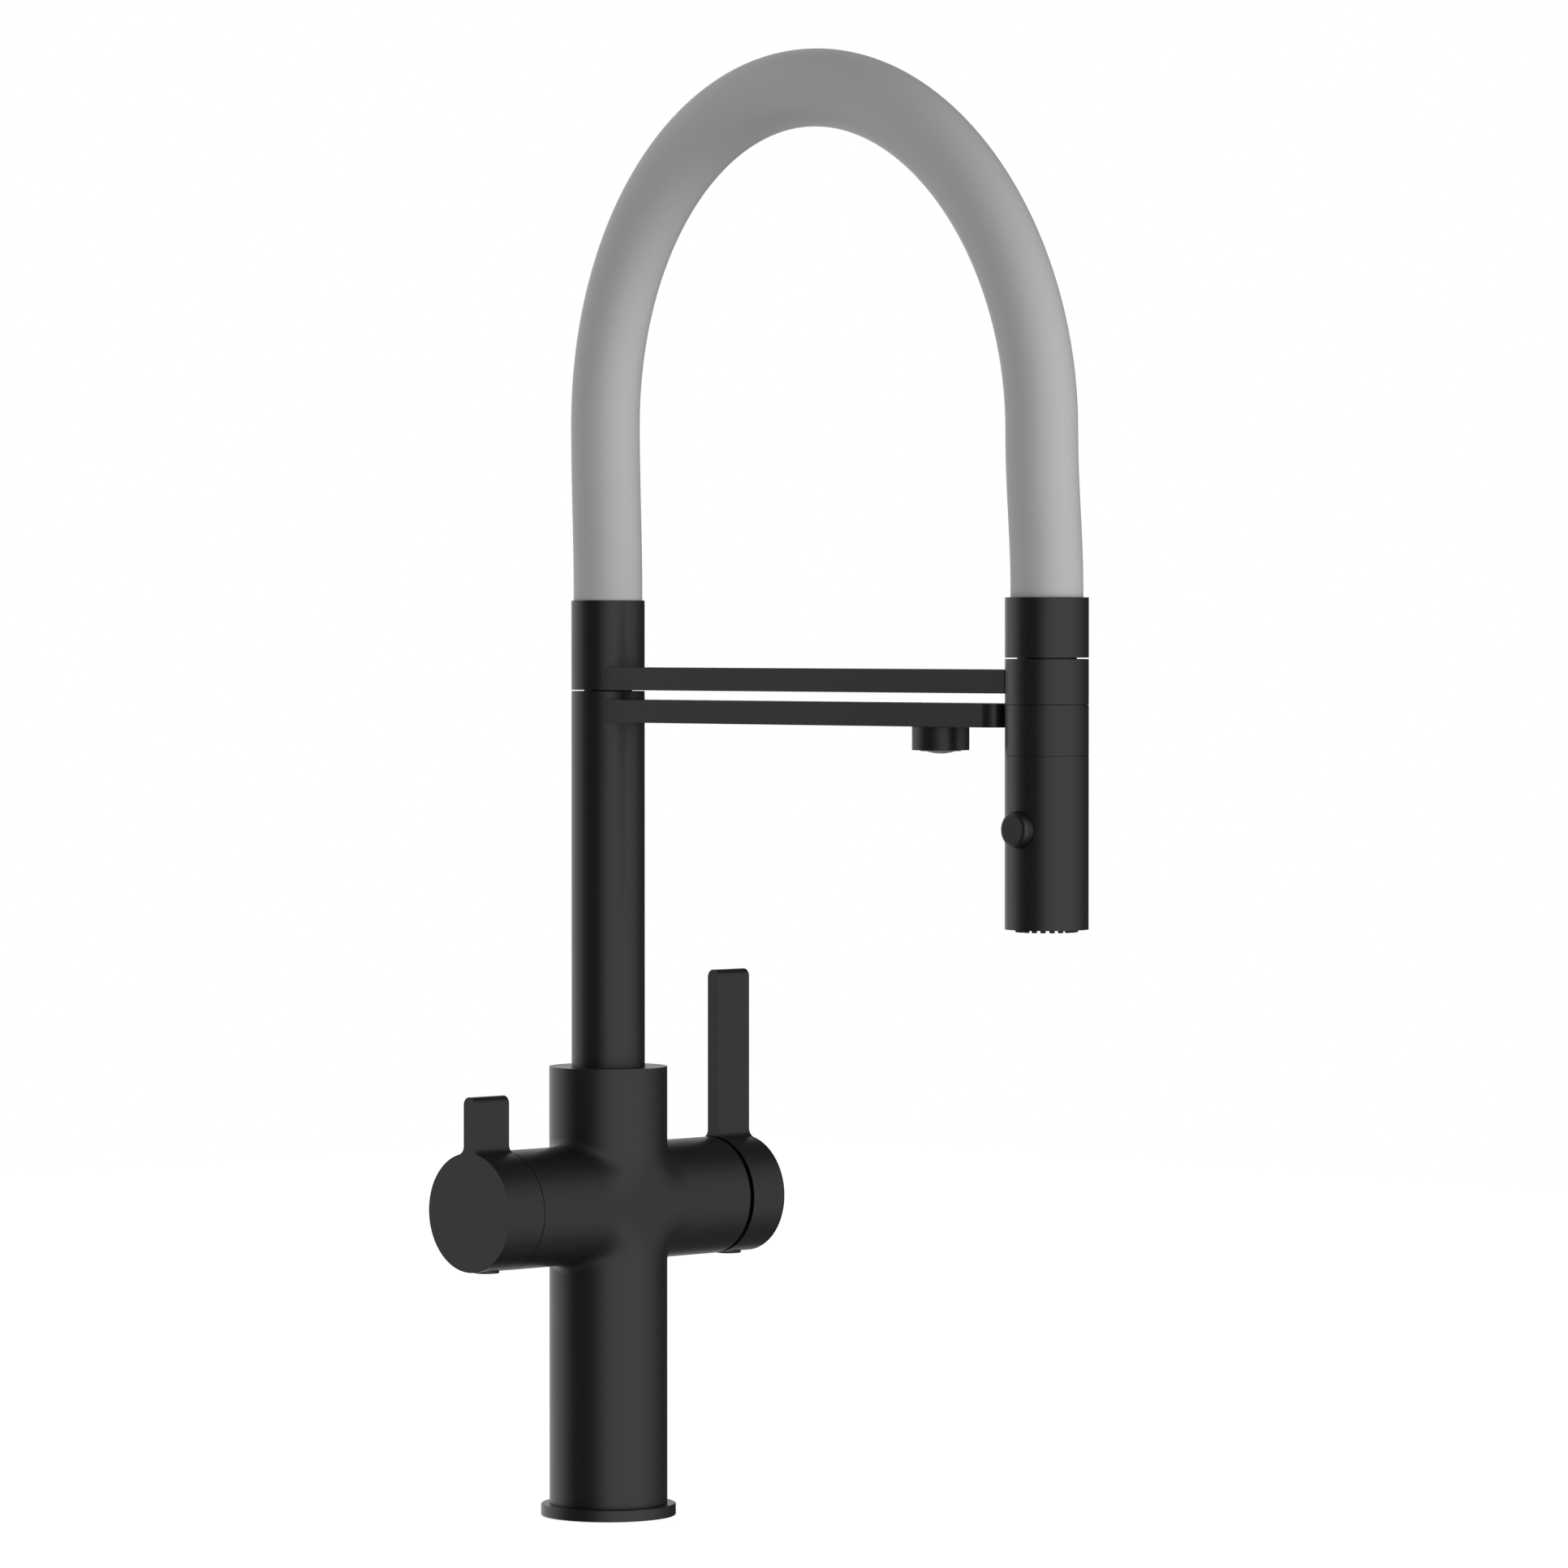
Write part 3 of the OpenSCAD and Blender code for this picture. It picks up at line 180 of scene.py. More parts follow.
def rod(radius, start, end):
    """A plain round cutter between two points on one axis."""
    deselect()
    along = end - start
    bpy.ops.mesh.primitive_cylinder_add(
        vertices=ROD_ROUND, radius=radius, depth=along.length, location=(start + end) / 2,
        rotation=along.to_track_quat("Z", "Y").to_euler())
    bpy.ops.object.transform_apply(location=True, rotation=True, scale=True)
    return bpy.context.object


def arc(centre, radius, start, end, steps):
    """Points on an arc, with angles in degrees; both ends are included."""
    angles = [math.radians(start + (end - start) * i / steps) for i in range(steps + 1)]
    return [(centre[0] + radius * math.cos(a), centre[1] + radius * math.sin(a)) for a in angles]


def finish_piece(piece, material, body, *replaced):
    """Gives a piece its material and its body, and lets it stand for its CAD nodes."""
    piece.data.materials.clear()
    piece.data.materials.append(material["look"])
    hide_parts(*replaced)
    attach(piece, body)
    return piece


# Materials

def new_group(name, inputs, outputs):
    """An empty shader node group with named sockets."""
    group = bpy.data.node_groups.new(name, "ShaderNodeTree")
    for socket, kind, value in inputs:
        made = group.interface.new_socket(socket, in_out="INPUT", socket_type=kind)
        made.default_value = value
    for socket, kind in outputs:
        group.interface.new_socket(socket, in_out="OUTPUT", socket_type=kind)
    return group, group.nodes.new("NodeGroupInput"), group.nodes.new("NodeGroupOutput")


def fine_grain_group():
    """Fine grain of a coated or moulded surface: a height, and a slow mottle from 0 to 1."""
    group, given, made = new_group(
        "fine_grain",
        [("Grain size mm", "NodeSocketFloat", 0.2), ("Mottle size mm", "NodeSocketFloat", 20)],
        [("Height", "NodeSocketFloat"), ("Mottle", "NodeSocketFloat")])
    place = group.nodes.new("ShaderNodeTexCoord")
    for label, output, detail in (("Grain size mm", "Height", 2), ("Mottle size mm", "Mottle", 3)):
        scale = group.nodes.new("ShaderNodeMath")
        scale.operation = "DIVIDE"
        scale.inputs[0].default_value = 1 / MM
        noise = group.nodes.new("ShaderNodeTexNoise")
        noise.inputs["Detail"].default_value = detail
        group.links.new(given.outputs[label], scale.inputs[1])
        group.links.new(scale.outputs[0], noise.inputs["Scale"])
        group.links.new(place.outputs["Object"], noise.inputs["Vector"])
        group.links.new(noise.outputs["Fac"], made.inputs[output])
    return group


FINE_GRAIN = fine_grain_group()


def finish(slot, color, roughness, spread=0.05, grain=0.25, mottle=25, bump=0.1, depth=0.02,
           tint=0.06, metallic=0.0, specular=0.5):
    """A finish with fine grain in its normal and a slow mottle in its colour and roughness."""
    look = bpy.data.materials.new(slot)
    look.use_nodes = True
    nodes, links = look.node_tree.nodes, look.node_tree.links
    shader = nodes["Principled BSDF"]
    shader.inputs["Metallic"].default_value = metallic
    shader.inputs["Specular IOR Level"].default_value = specular
    surface = nodes.new("ShaderNodeGroup")
    surface.node_tree = FINE_GRAIN
    surface.inputs["Grain size mm"].default_value = grain
    surface.inputs["Mottle size mm"].default_value = mottle
    rough = nodes.new("ShaderNodeMapRange")
    rough.inputs["To Min"].default_value = roughness - spread
    rough.inputs["To Max"].default_value = roughness + spread
    links.new(surface.outputs["Mottle"], rough.inputs["Value"])
    links.new(rough.outputs["Result"], shader.inputs["Roughness"])
    shade = nodes.new("ShaderNodeMix")
    shade.data_type = "RGBA"
    shade.inputs["A"].default_value = [c * (1 - tint) for c in color] + [1]
    shade.inputs["B"].default_value = [c * (1 + tint) for c in color] + [1]
    links.new(surface.outputs["Mottle"], shade.inputs["Factor"])
    links.new(shade.outputs["Result"], shader.inputs["Base Color"])
    relief = nodes.new("ShaderNodeBump")
    relief.inputs["Strength"].default_value = bump
    relief.inputs["Distance"].default_value = depth * MM
    links.new(surface.outputs["Height"], relief.inputs["Height"])
    links.new(relief.outputs["Normal"], shader.inputs["Normal"])
    return {"slot": slot, "look": look}


FINISHES = {
    "black_coat": finish("black_coat", (0.0105, 0.0105, 0.0108), 0.36, spread=0.03, grain=0.18,
                         mottle=30, bump=0.05, specular=0.45),
    "grey_silicone": finish("grey_silicone", (0.56, 0.56, 0.56), 0.5, spread=0.04, grain=0.3,
                            mottle=18, bump=0.06, tint=0.015, specular=0.6),
    "black_rubber": finish("black_rubber", (0.012, 0.012, 0.012), 0.7, grain=0.15, bump=0.2),
    "brass": finish("brass", (0.72, 0.53, 0.25), 0.28, grain=0.08, metallic=1.0),
    "copper": finish("copper", (0.72, 0.38, 0.22), 0.3, grain=0.1, metallic=1.0),
    "steel": finish("steel", (0.62, 0.63, 0.64), 0.25, grain=0.08, metallic=1.0),
    "white_plastic": finish("white_plastic", (0.78, 0.78, 0.75), 0.45, grain=0.3),
    "grey_plastic": finish("grey_plastic", (0.30, 0.31, 0.32), 0.45, grain=0.25),
    "black_plastic": finish("black_plastic", (0.02, 0.02, 0.02), 0.5, grain=0.2),
}
COAT = FINISHES["black_coat"]


def dress_cad_nodes():
    """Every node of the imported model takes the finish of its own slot."""
    slots = {part["node"]: part["material_slot"] for part in frame["record"]["subparts"]}
    for name, node in frame["nodes"].items():
        node.data.materials.clear()
        node.data.materials.append(FINISHES[slots[name]]["look"])


# Body and levers

BLEND_R = 4 * MM
FRONT_BLEND_R = 20 * MM
BLEND_RISE = 6
CRISP = 0.12 * MM
SOFT_RIM = 0.45 * MM
PLUG_RIM = 0.2 * MM
BODY_WALL = 4 * MM
RUN_CLEAR = 0.08 * MM
FIT_CLEAR = 0.03 * MM
SOCKET_DEPTH = 25.6 * MM
CAVITY_DEPTH = 87 * MM
NUT_BORE_R, NUT_DEPTH = 18.93 * MM, 8 * MM
CARTRIDGE_BORE_R, CARTRIDGE_DEPTH = 17.6 * MM, 26 * MM
VALVE_BORE_R, VALVE_DEPTH = 13 * MM, 32 * MM
SCREW_BORE_R = 2.03 * MM


def crossing_quarter(name, leg_end, arm_end, radius, stations=96, arc_steps=16, rules=5):
    """A quarter of two equal round bars that cross. The round corner between them is tight at
    the bars' sides and wide in front and behind. Rows follow the bars' round; columns run leg,
    corner, arm. The corner's radius keeps to BLEND_R over most of the bars' round, and rises to
    FRONT_BLEND_R near their front and back lines."""
    columns = 2 * rules + arc_steps + 1
    deselect()
    bpy.ops.mesh.primitive_grid_add(x_subdivisions=columns - 1, y_subdivisions=stations, size=MM)
    piece = bpy.context.object
    piece.name = name
    side = 1 if leg_end > 0 else -1
    points = []
    for row in range(stations + 1):
        turn = math.pi * (row / stations - 0.5)
        wall, depth = radius * math.cos(turn), radius * math.sin(turn)
        corner_r = BLEND_R + (FRONT_BLEND_R - BLEND_R) * math.sin(turn) ** BLEND_RISE
        far = wall + corner_r
        for i in range(rules):
            points.append((wall, depth, abs(leg_end) + (far - abs(leg_end)) * i / rules))
        for x, z in arc((far, far), corner_r, 180, 270, arc_steps):
            points.append((x, depth, z))
        for i in range(1, rules + 1):
            points.append((far + (arm_end - far) * i / rules, depth, wall))
    assert len(points) == len(piece.data.vertices)
    for vertex, (x, y, z) in zip(piece.data.vertices, points):
        vertex.co = (x, y, BAR_Z + side * z)
    return piece


def close_star(piece, depth):
    """Fills the flat star that the four quarters leave open at their front or back line."""
    edit(piece)
    shape = bmesh.from_edit_mesh(piece.data)
    for edge in shape.edges:
        if edge.is_boundary and all(abs(v.co.y - depth) < SAME for v in edge.verts):
            edge.select_set(True)
    bmesh.update_edit_mesh(piece.data)
    bpy.ops.mesh.edge_face_add()
    deselect()


def sink_bore(piece, rim, centre, axis, steps):
    """From an open rim: in to each radius and on to each depth along the axis, then closed."""
    edit(piece)
    select_edges(piece, rim)
    radius = steps[0][0]
    for new_radius, depth in steps[1:]:
        share = new_radius / radius
        bpy.ops.mesh.extrude_edges_move()
        bpy.ops.transform.resize(value=[1 if abs(a) > 0.5 else share for a in axis],
                                 center_override=centre)
        bpy.ops.mesh.extrude_edges_move(TRANSFORM_OT_translate={"value": axis * depth})
        centre = centre + axis * depth
        radius = new_radius
    bpy.ops.mesh.edge_face_add()
    deselect()


def body_casting():
    """Column and crossbar in one, softly blended, with its four bores."""
    low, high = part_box("tap_body")
    radius, arm_end = high.y, high.x
    socket_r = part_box("riser_tube")[1].x + RUN_CLEAR
    quarters = [crossing_quarter("body_casting", high.z - BAR_Z, arm_end, radius),
                crossing_quarter("lower_quarter", low.z - BAR_Z, arm_end, radius)]
    deselect()
    for quarter in quarters:
        quarter.select_set(True)
    bpy.context.view_layer.objects.active = quarters[0]
    bpy.ops.object.join()
    piece = bpy.context.object
    apply_modifier(piece, "MIRROR", use_axis=(True, False, False), use_mirror_merge=True,
                   merge_threshold=SAME)
    tidy_mesh(piece)
    close_star(piece, radius)
    close_star(piece, -radius)
    sink_bore(piece, lambda p: p.z > high.z - NEAR, Vector((0, 0, high.z)), -Z,
              [(radius, 0), (socket_r, SOCKET_DEPTH)])
    sink_bore(piece, lambda p: p.z < low.z + NEAR, Vector((0, 0, low.z)), Z,
              [(radius, 0), (radius - BODY_WALL, CAVITY_DEPTH)])
    sink_bore(piece, lambda p: p.x > arm_end - NEAR, Vector((arm_end, 0, BAR_Z)), -X,
              [(radius, 0), (NUT_BORE_R, NUT_DEPTH), (CARTRIDGE_BORE_R, CARTRIDGE_DEPTH)])
    sink_bore(piece, lambda p: p.x < NEAR - arm_end, Vector((-arm_end, 0, BAR_Z)), X,
              [(radius, 0), (VALVE_BORE_R, VALVE_DEPTH)])
    tidy_mesh(piece)
    screw_low, screw_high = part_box("riser_screw")
    screw_z = (screw_low.z + screw_high.z) / 2
    cut(piece, rod(SCREW_BORE_R, Vector((0, socket_r - MM, screw_z)),
                   Vector((0, radius + MM, screw_z))))
    soften(piece, CRISP)
    return finish_piece(piece, COAT, "base", "tap_body")


def flange():
    """Low ring on the worktop with a rounded upper edge."""
    low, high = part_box("base_flange")
    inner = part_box("tap_body")[1].y - BODY_WALL
    piece = turned("flange_ring", [(inner, low.z), (high.x, low.z), (high.x, high.z), (inner, high.z)],
                   Vector())
    soften(piece, SOFT_RIM, 4)
    return finish_piece(piece, COAT, "base", "base_flange")


BLADE_FOOT_R = 3.5 * MM
BLADE_T = 6 * MM
CAP_STEPS, FILLET_STEPS, TIP_STEPS = 180, 12, 24


def keyhole(cap_r, blade_t, fillet_r, reach):
    """Outline of a cap with its upright blade: the cap's centre is on the crossbar's axis."""
    half = blade_t / 2
    side = half + fillet_r
    rise = math.sqrt((cap_r + fillet_r) ** 2 - side ** 2)
    foot = math.degrees(math.atan2(rise, side))
    outline = arc((0, 0), cap_r, foot, -180 - foot, CAP_STEPS)
    outline += arc((-side, rise), fillet_r, -foot, 0, FILLET_STEPS)[1:]
    outline += arc((0, reach - half), half, 180, 0, TIP_STEPS)
    outline += arc((side, rise), fillet_r, 180, 180 + foot, FILLET_STEPS)[:-1]
    return [(y, BAR_Z + z) for y, z in outline]


def filter_handle():
    """Short left lever with a closed cap, hollow towards the crossbar."""
    low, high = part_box("filter_lever")
    piece = slab("filter_handle_cap", keyhole(high.y, BLADE_T, BLADE_FOOT_R, high.z - BAR_Z),
                 low.x, high.x - low.x)
    hollow_r, hollow, mouth = 17 * MM, high.x - 7.8 * MM, high.x + MM
    boss_r, boss = 8 * MM, high.x - 3 * MM
    cutter = turned("hollow", [(0, mouth), (hollow_r, mouth), (hollow_r, hollow),
                               (boss_r, hollow), (boss_r, boss), (0, boss)], Vector((0, 0, BAR_Z)), X)
    cut(piece, cutter)
    soften(piece, CRISP)
    return finish_piece(piece, COAT, "filter_handle", "filter_lever")


def mixer_handle():
    """Long right lever, dished behind so that it clears the cover ring as it tilts."""
    low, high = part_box("mixer_lever")
    piece = slab("mixer_handle_cap", keyhole(high.y, BLADE_T, BLADE_FOOT_R, high.z - BAR_Z),
                 low.x, high.x - low.x)
    ring_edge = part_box("mixer_dome")[1].z - BAR_Z + MM
    ring_seat, ring_gap = 20.05 * MM, 0.9 * MM
    dish_r = math.hypot(ring_seat, ring_edge) + ring_gap
    back, boss_r, boss_back = low.x - STEM_PIVOT.x - MM, 6.5 * MM, 23 * MM
    rim = math.degrees(math.acos(back / dish_r))
    foot = math.degrees(math.asin(boss_r / dish_r))
    curve = [(radius, height) for height, radius in arc((0, 0), dish_r, foot, rim, 48)]
    cutter = turned("dish", [(0, back), (0, boss_back), (boss_r, boss_back)] + curve, STEM_PIVOT, X)
    cut(piece, cutter)
    soften(piece, CRISP)
    return finish_piece(piece, COAT, "mixer_handle", "mixer_lever")


def cover_plug(name, node, body):
    """Thin round plug under a cap, over its grub screw."""
    low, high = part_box(node)
    radius, stem_r, thickness = (high.x - low.x) / 2, 3.37 * MM, 1.1 * MM
    face = low.z + 0.45 * MM
    shoulder = face + thickness
    centre = Vector(((low.x + high.x) / 2, 0, 0))
    piece = turned(name, [(0, face), (radius, face), (radius, shoulder), (stem_r, shoulder),
                          (stem_r, high.z), (0, high.z)], centre)
    soften(piece, PLUG_RIM)
    return finish_piece(piece, COAT, body, node)


# Riser, arms and outlet

RISER_WALL = 2 * MM
SPOUT_END_R, SPOUT_END_STEPS = 6 * MM, 16
CRADLE_GAP = 0.3 * MM
OUTLET_NECK_R = 5.5 * MM
CUP_R = 13.2 * MM


def riser():
    """Round tube that turns in the body and carries both arms."""
    low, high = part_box("riser_tube")
    inner = high.x - RISER_WALL
    piece = turned("riser_column", [(inner, low.z), (high.x, low.z), (high.x, high.z), (inner, high.z)],
                   Vector())
    soften(piece, CRISP)
    return finish_piece(piece, COAT, "spout", "riser_tube")


def turning_collar():
    """Collar over the riser, with the cup that takes the sleeve."""
    low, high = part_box("arm_collar")
    bore, thread = 8.08 * MM, 11 * MM
    shoulder, floor = low.z + 12.7 * MM, high.z - 12.3 * MM
    piece = turned("turning_collar", [
        (bore, low.z), (high.x, low.z), (high.x, high.z), (CUP_R, high.z), (CUP_R, floor),
        (thread, floor), (thread, shoulder), (bore, shoulder)], Vector())
    soften(piece, CRISP)
    return finish_piece(piece, COAT, "arm", "arm_collar")


def flat_bar(name, node):
    """Flat arm from the riser's axis to its far end."""
    low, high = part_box(node)
    deselect()
    bpy.ops.mesh.primitive_cube_add(size=1, location=(0, low.y / 2, (low.z + high.z) / 2),
                                    scale=(high.x - low.x, -low.y, high.z - low.z))
    bpy.ops.object.transform_apply(location=True, rotation=True, scale=True)
    piece = bpy.context.object
    piece.name = name
    return piece


def saddle(piece, node):
    """Hollows an arm where it meets the riser."""
    low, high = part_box(node)
    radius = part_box("riser_tube")[1].x + FIT_CLEAR
    cut(piece, rod(radius, Vector((0, 0, low.z - MM)), Vector((0, 0, high.z + MM))))


def lower_arm():
    """Lower arm, the filtered-water spout, with rounded end corners."""
    low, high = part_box("filter_spout")
    piece = flat_bar("lower_arm", "filter_spout")
    edit(piece)
    for side in (-1, 1):
        select_edges(piece, lambda p: p.y < low.y + NEAR and p.x * side > 0)
    bpy.ops.mesh.bevel(offset=SPOUT_END_R, segments=SPOUT_END_STEPS)
    deselect()
    saddle(piece, "filter_spout")
    cup_low, cup_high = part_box("outlet_cup")
    mid_y, seat_r = (cup_low.y + cup_high.y) / 2, OUTLET_NECK_R + FIT_CLEAR
    cut(piece, rod(seat_r, Vector((0, mid_y, low.z - MM)), Vector((0, mid_y, cup_high.z))))
    soften(piece, CRISP)
    return finish_piece(piece, COAT, "spout", "filter_spout")


def upper_arm():
    """Dock arm, with a cradle for the spray head and a bore for its magnet."""
    low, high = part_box("dock_arm")
    piece = flat_bar("upper_arm", "dock_arm")
    saddle(piece, "dock_arm")
    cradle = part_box("dock_collar")[1].x + CRADLE_GAP
    cut(piece, rod(cradle, HEAD_AXIS + Z * (low.z - MM), HEAD_AXIS + Z * (high.z + MM)))
    magnet_low, magnet_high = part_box("dock_magnet")
    mid_z, magnet_bore_r = (magnet_low.z + magnet_high.z) / 2, magnet_high.x + FIT_CLEAR
    cut(piece, rod(magnet_bore_r, Vector((0, magnet_high.y, mid_z)), Vector((0, low.y - 5 * MM, mid_z))))
    soften(piece, CRISP)
    return finish_piece(piece, COAT, "arm", "dock_arm")


def outlet():
    """Small round cup under the lower arm, which holds the domed flow insert."""
    low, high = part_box("outlet_cup")
    centre = Vector((0, (low.y + high.y) / 2, 0))
    arm_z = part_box("filter_spout")[0].z
    radius, neck_r, bore, roof = high.x, OUTLET_NECK_R, 3 * MM, arm_z - 2.5 * MM
    inner = radius - 2 * MM
    cup = turned("outlet_ring", [
        (radius, low.z), (radius, arm_z), (neck_r, arm_z), (neck_r, high.z), (bore, high.z),
        (bore, roof), (inner, roof), (inner, low.z)], centre)
    soften(cup, CRISP)
    return finish_piece(cup, COAT, "spout", "outlet_cup")


# Hose arch

LEG_BOW = 1.4 * MM
SPRAY_LEG_BOW = 2.6 * MM
LEG_H = 66.7 * MM
FAR_LEG_DROP = 6 * MM
HANDLES = {"rise": 71 * MM, "crown": 59 * MM, "far_crown": 64.5 * MM, "fall": 68 * MM, "leg": 22 * MM}
CROWN_Y = -106.5 * MM
CROWN_H = 189.6 * MM
CROWN_SWELL = 2.6 * MM
SLEEVE_R, SLEEVE_WALL = 13.1 * MM, 3 * MM
COIL_R, COIL_WALL = 9.6 * MM, 1.4 * MM
HOSE_R, HOSE_WALL = 6.4 * MM, 1.8 * MM
SLEEVE_ROUND, HOSE_ROUND = 96, 32
SEAT_STEPS, LEG_STEPS, CROWN_STEPS = 6, 16, 48
FAR_SEAT_DEPTH = 10.8 * MM


def bezier(points, t):
    """Place and direction on a cubic curve at share t of it."""
    a, b, c, d = points
    place = a * (1 - t) ** 3 + b * 3 * (1 - t) ** 2 * t + c * 3 * (1 - t) * t * t + d * t ** 3
    slope = (b - a) * 3 * (1 - t) ** 2 + (c - b) * 6 * (1 - t) * t + (d - c) * 3 * t * t
    return place, slope.normalized()


def arch_route():
    """Centre line of the hose arch as (place, direction, swell), riser end first."""
    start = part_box("arm_collar")[1].z
    far_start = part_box("hose_collar")[1].z
    low, far_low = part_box("hose_sleeve")[0].z, far_start - FAR_SEAT_DEPTH
    far_y, stub, lead = HEAD_AXIS.y, 1.2 * MM, 4 * MM
    top, leg, far_leg = start + CROWN_H, start + LEG_H, start + LEG_H - FAR_LEG_DROP
    h = HANDLES

    def at(y, z):
        return Vector((0, y, z))

    curves = [
        (at(0, low), at(0, low + lead), at(0, start + stub - lead), at(0, start + stub), SEAT_STEPS),
        (at(0, start + stub), at(0, start + stub + h["leg"]),
         at(LEG_BOW, leg - h["leg"]), at(LEG_BOW, leg), LEG_STEPS),
        (at(LEG_BOW, leg), at(LEG_BOW, leg + h["rise"]),
         at(CROWN_Y + h["crown"], top), at(CROWN_Y, top), CROWN_STEPS),
        (at(CROWN_Y, top), at(CROWN_Y - h["far_crown"], top),
         at(far_y + SPRAY_LEG_BOW, far_leg + h["fall"]), at(far_y + SPRAY_LEG_BOW, far_leg),
         CROWN_STEPS),
        (at(far_y + SPRAY_LEG_BOW, far_leg), at(far_y + SPRAY_LEG_BOW, far_leg - h["leg"]),
         at(far_y, far_start + stub + h["leg"]), at(far_y, far_start + stub), LEG_STEPS),
        (at(far_y, far_start + stub), at(far_y, far_start + stub - lead),
         at(far_y, far_low + lead), at(far_y, far_low), SEAT_STEPS),
    ]
    route = []
    for number, (*points, steps) in enumerate(curves):
        for i in range(steps + (number == len(curves) - 1)):
            t = i / steps
            swell = {2: math.sin(t * math.pi / 2) ** 2, 3: math.cos(t * math.pi / 2) ** 2}.get(number, 0)
            route.append((*bezier(points, t), swell))
    return route


def swept_tube(name, route, radius, bore, sides, swell):
    """A tube swept along a route in the plane of the arch, taller in section towards its crown."""
    points = []
    for wall in (radius, bore):
        for place, direction, share in route:
            across = Vector((0, direction.z, -direction.y))
            for k in range(sides):
                angle = 2 * math.pi * k / sides
                points.append(place + X * wall * math.cos(angle)
                              + across * (wall + swell / 2 * share) * math.sin(angle))
    count = len(route)
    faces = []
    for half in range(2):
        base = half * count * sides
        for ring in range(count - 1):
            for k in range(sides):
                a, b = base + ring * sides + k, base + ring * sides + (k + 1) % sides
                faces.append((a, b, b + sides, a + sides))
    for end in (0, (count - 1) * sides):
        for k in range(sides):
            a, b = end + k, end + (k + 1) % sides
            faces.append((a, b, b + count * sides, a + count * sides))
    mesh = bpy.data.meshes.new(name)
    mesh.from_pydata(points, [], faces)
    piece = bpy.data.objects.new(name, mesh)
    bpy.context.scene.collection.objects.link(piece)
    tidy_mesh(piece)
    return piece


def hose_arch():
    """Silicone sleeve with its inner hose, bending between the arm and the head. A plain steel tube
    stands for the coil in it, which never shows."""
    route = arch_route()
    sleeve = swept_tube("sleeve", route, SLEEVE_R, SLEEVE_R - SLEEVE_WALL, SLEEVE_ROUND, CROWN_SWELL)
    coil = swept_tube("coil", route, COIL_R, COIL_R - COIL_WALL, HOSE_ROUND, 0)
    inner = swept_tube("water_hose", route, HOSE_R, HOSE_R - HOSE_WALL, HOSE_ROUND, 0)
    for piece, material, node in ((sleeve, "grey_silicone", "hose_sleeve"),
                                  (coil, "steel", "support_coil"),
                                  (inner, "white_plastic", "inner_hose")):
        pick(piece)
        bpy.ops.object.shade_smooth_by_angle(angle=HOSE_CREASE_ANGLE)
        piece.data.materials.append(FINISHES[material]["look"])
        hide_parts(node)
        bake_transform(piece)


# Spray head

HAIR_SEAM = 0.1 * MM


def head_ring(name, node, body, bores):
    """Turned ring of the spray head: outer radius and height of its node, with stepped bores."""
    low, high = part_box(node)
    outline = [(high.x, low.z), (high.x, high.z)] + bores
    piece = turned(name, outline, HEAD_AXIS)
    soften(piece, CRISP)
    return finish_piece(piece, COAT, body, node)


def hose_end_collar():
    """Collar at the hose's spray end, with the cup that takes the sleeve."""
    low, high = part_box("hose_collar")
    nipple, floor = 10.83 * MM, high.z - 12.4 * MM
    head_ring("hose_end_collar", "hose_collar", "hose_end",
              [(CUP_R, high.z), (CUP_R, floor), (nipple, floor), (nipple, low.z)])


def dock_ring():
    """Ring of the head that sits in the dock arm's cradle and turns on the nipple."""
    low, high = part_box("dock_collar")
    nipple, bore, shoulder = 10.88 * MM, 12.7 * MM, high.z - 7.75 * MM
    head_ring("dock_ring", "dock_collar", "spray_head",
              [(nipple, high.z), (nipple, shoulder), (bore, shoulder), (bore, low.z)])


def lower_ring():
    """Lower collar of the head, with its threaded spigots hidden above and below."""
    low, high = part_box("head_collar")
    radius = high.x
    seam_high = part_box("dock_collar")[0].z - HAIR_SEAM
    seam_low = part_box("head_shell")[1].z + HAIR_SEAM
    thread, spigot, bore = 12.67 * MM, 12.97 * MM, 8.53 * MM
    piece = turned("lower_ring", [
        (spigot, low.z), (spigot, seam_low), (radius, seam_low), (radius, seam_high),
        (thread, seam_high), (thread, high.z), (bore, high.z), (bore, low.z)], HEAD_AXIS)
    soften(piece, CRISP)
    return finish_piece(piece, COAT, "spray_head", "head_collar")


def head_tube():
    """Shell of the spray head, with the hole for its button."""
    low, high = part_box("head_shell")
    bore = high.x - 2.1 * MM
    piece = turned("head_tube", [(high.x, low.z), (high.x, high.z), (bore, high.z), (bore, low.z)],
                   HEAD_AXIS)
    button_low, button_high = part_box("spray_button")
    mid = (button_low + button_high) / 2
    hole = (button_high.z - button_low.z) / 2 + 0.2 * MM
    cut(piece, rod(hole, Vector((-high.x - MM, mid.y, mid.z)), Vector((-MM, mid.y, mid.z))))
    soften(piece, CRISP)
    return finish_piece(piece, COAT, "spray_head", "head_shell")


def push_button():
    """Round button with a flat face and a broad rounded edge."""
    low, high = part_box("spray_button")
    radius, edge, length = (high.z - low.z) / 2, 1.7 * MM, 5.6 * MM
    centre = Vector((0, HEAD_AXIS.y, (low.z + high.z) / 2))
    rim = arc((radius - edge, low.x + edge), edge, -90, 0, 10)
    stem = 3 * MM
    piece = turned("push_button", [(0, low.x)] + rim + [
        (radius, low.x + length), (stem, low.x + length), (stem, high.x), (0, high.x)], centre, X)
    soften(piece, CRISP)
    return finish_piece(piece, COAT, "button", "spray_button")


PIP_COUNT = 20
PIP_RING_R = 10.35 * MM
PIP_R = MM
PIP_EYE_R = 0.35 * MM
PIP_OUT = MM
JET_RING_R = 3.6 * MM
JET_R = 0.8 * MM


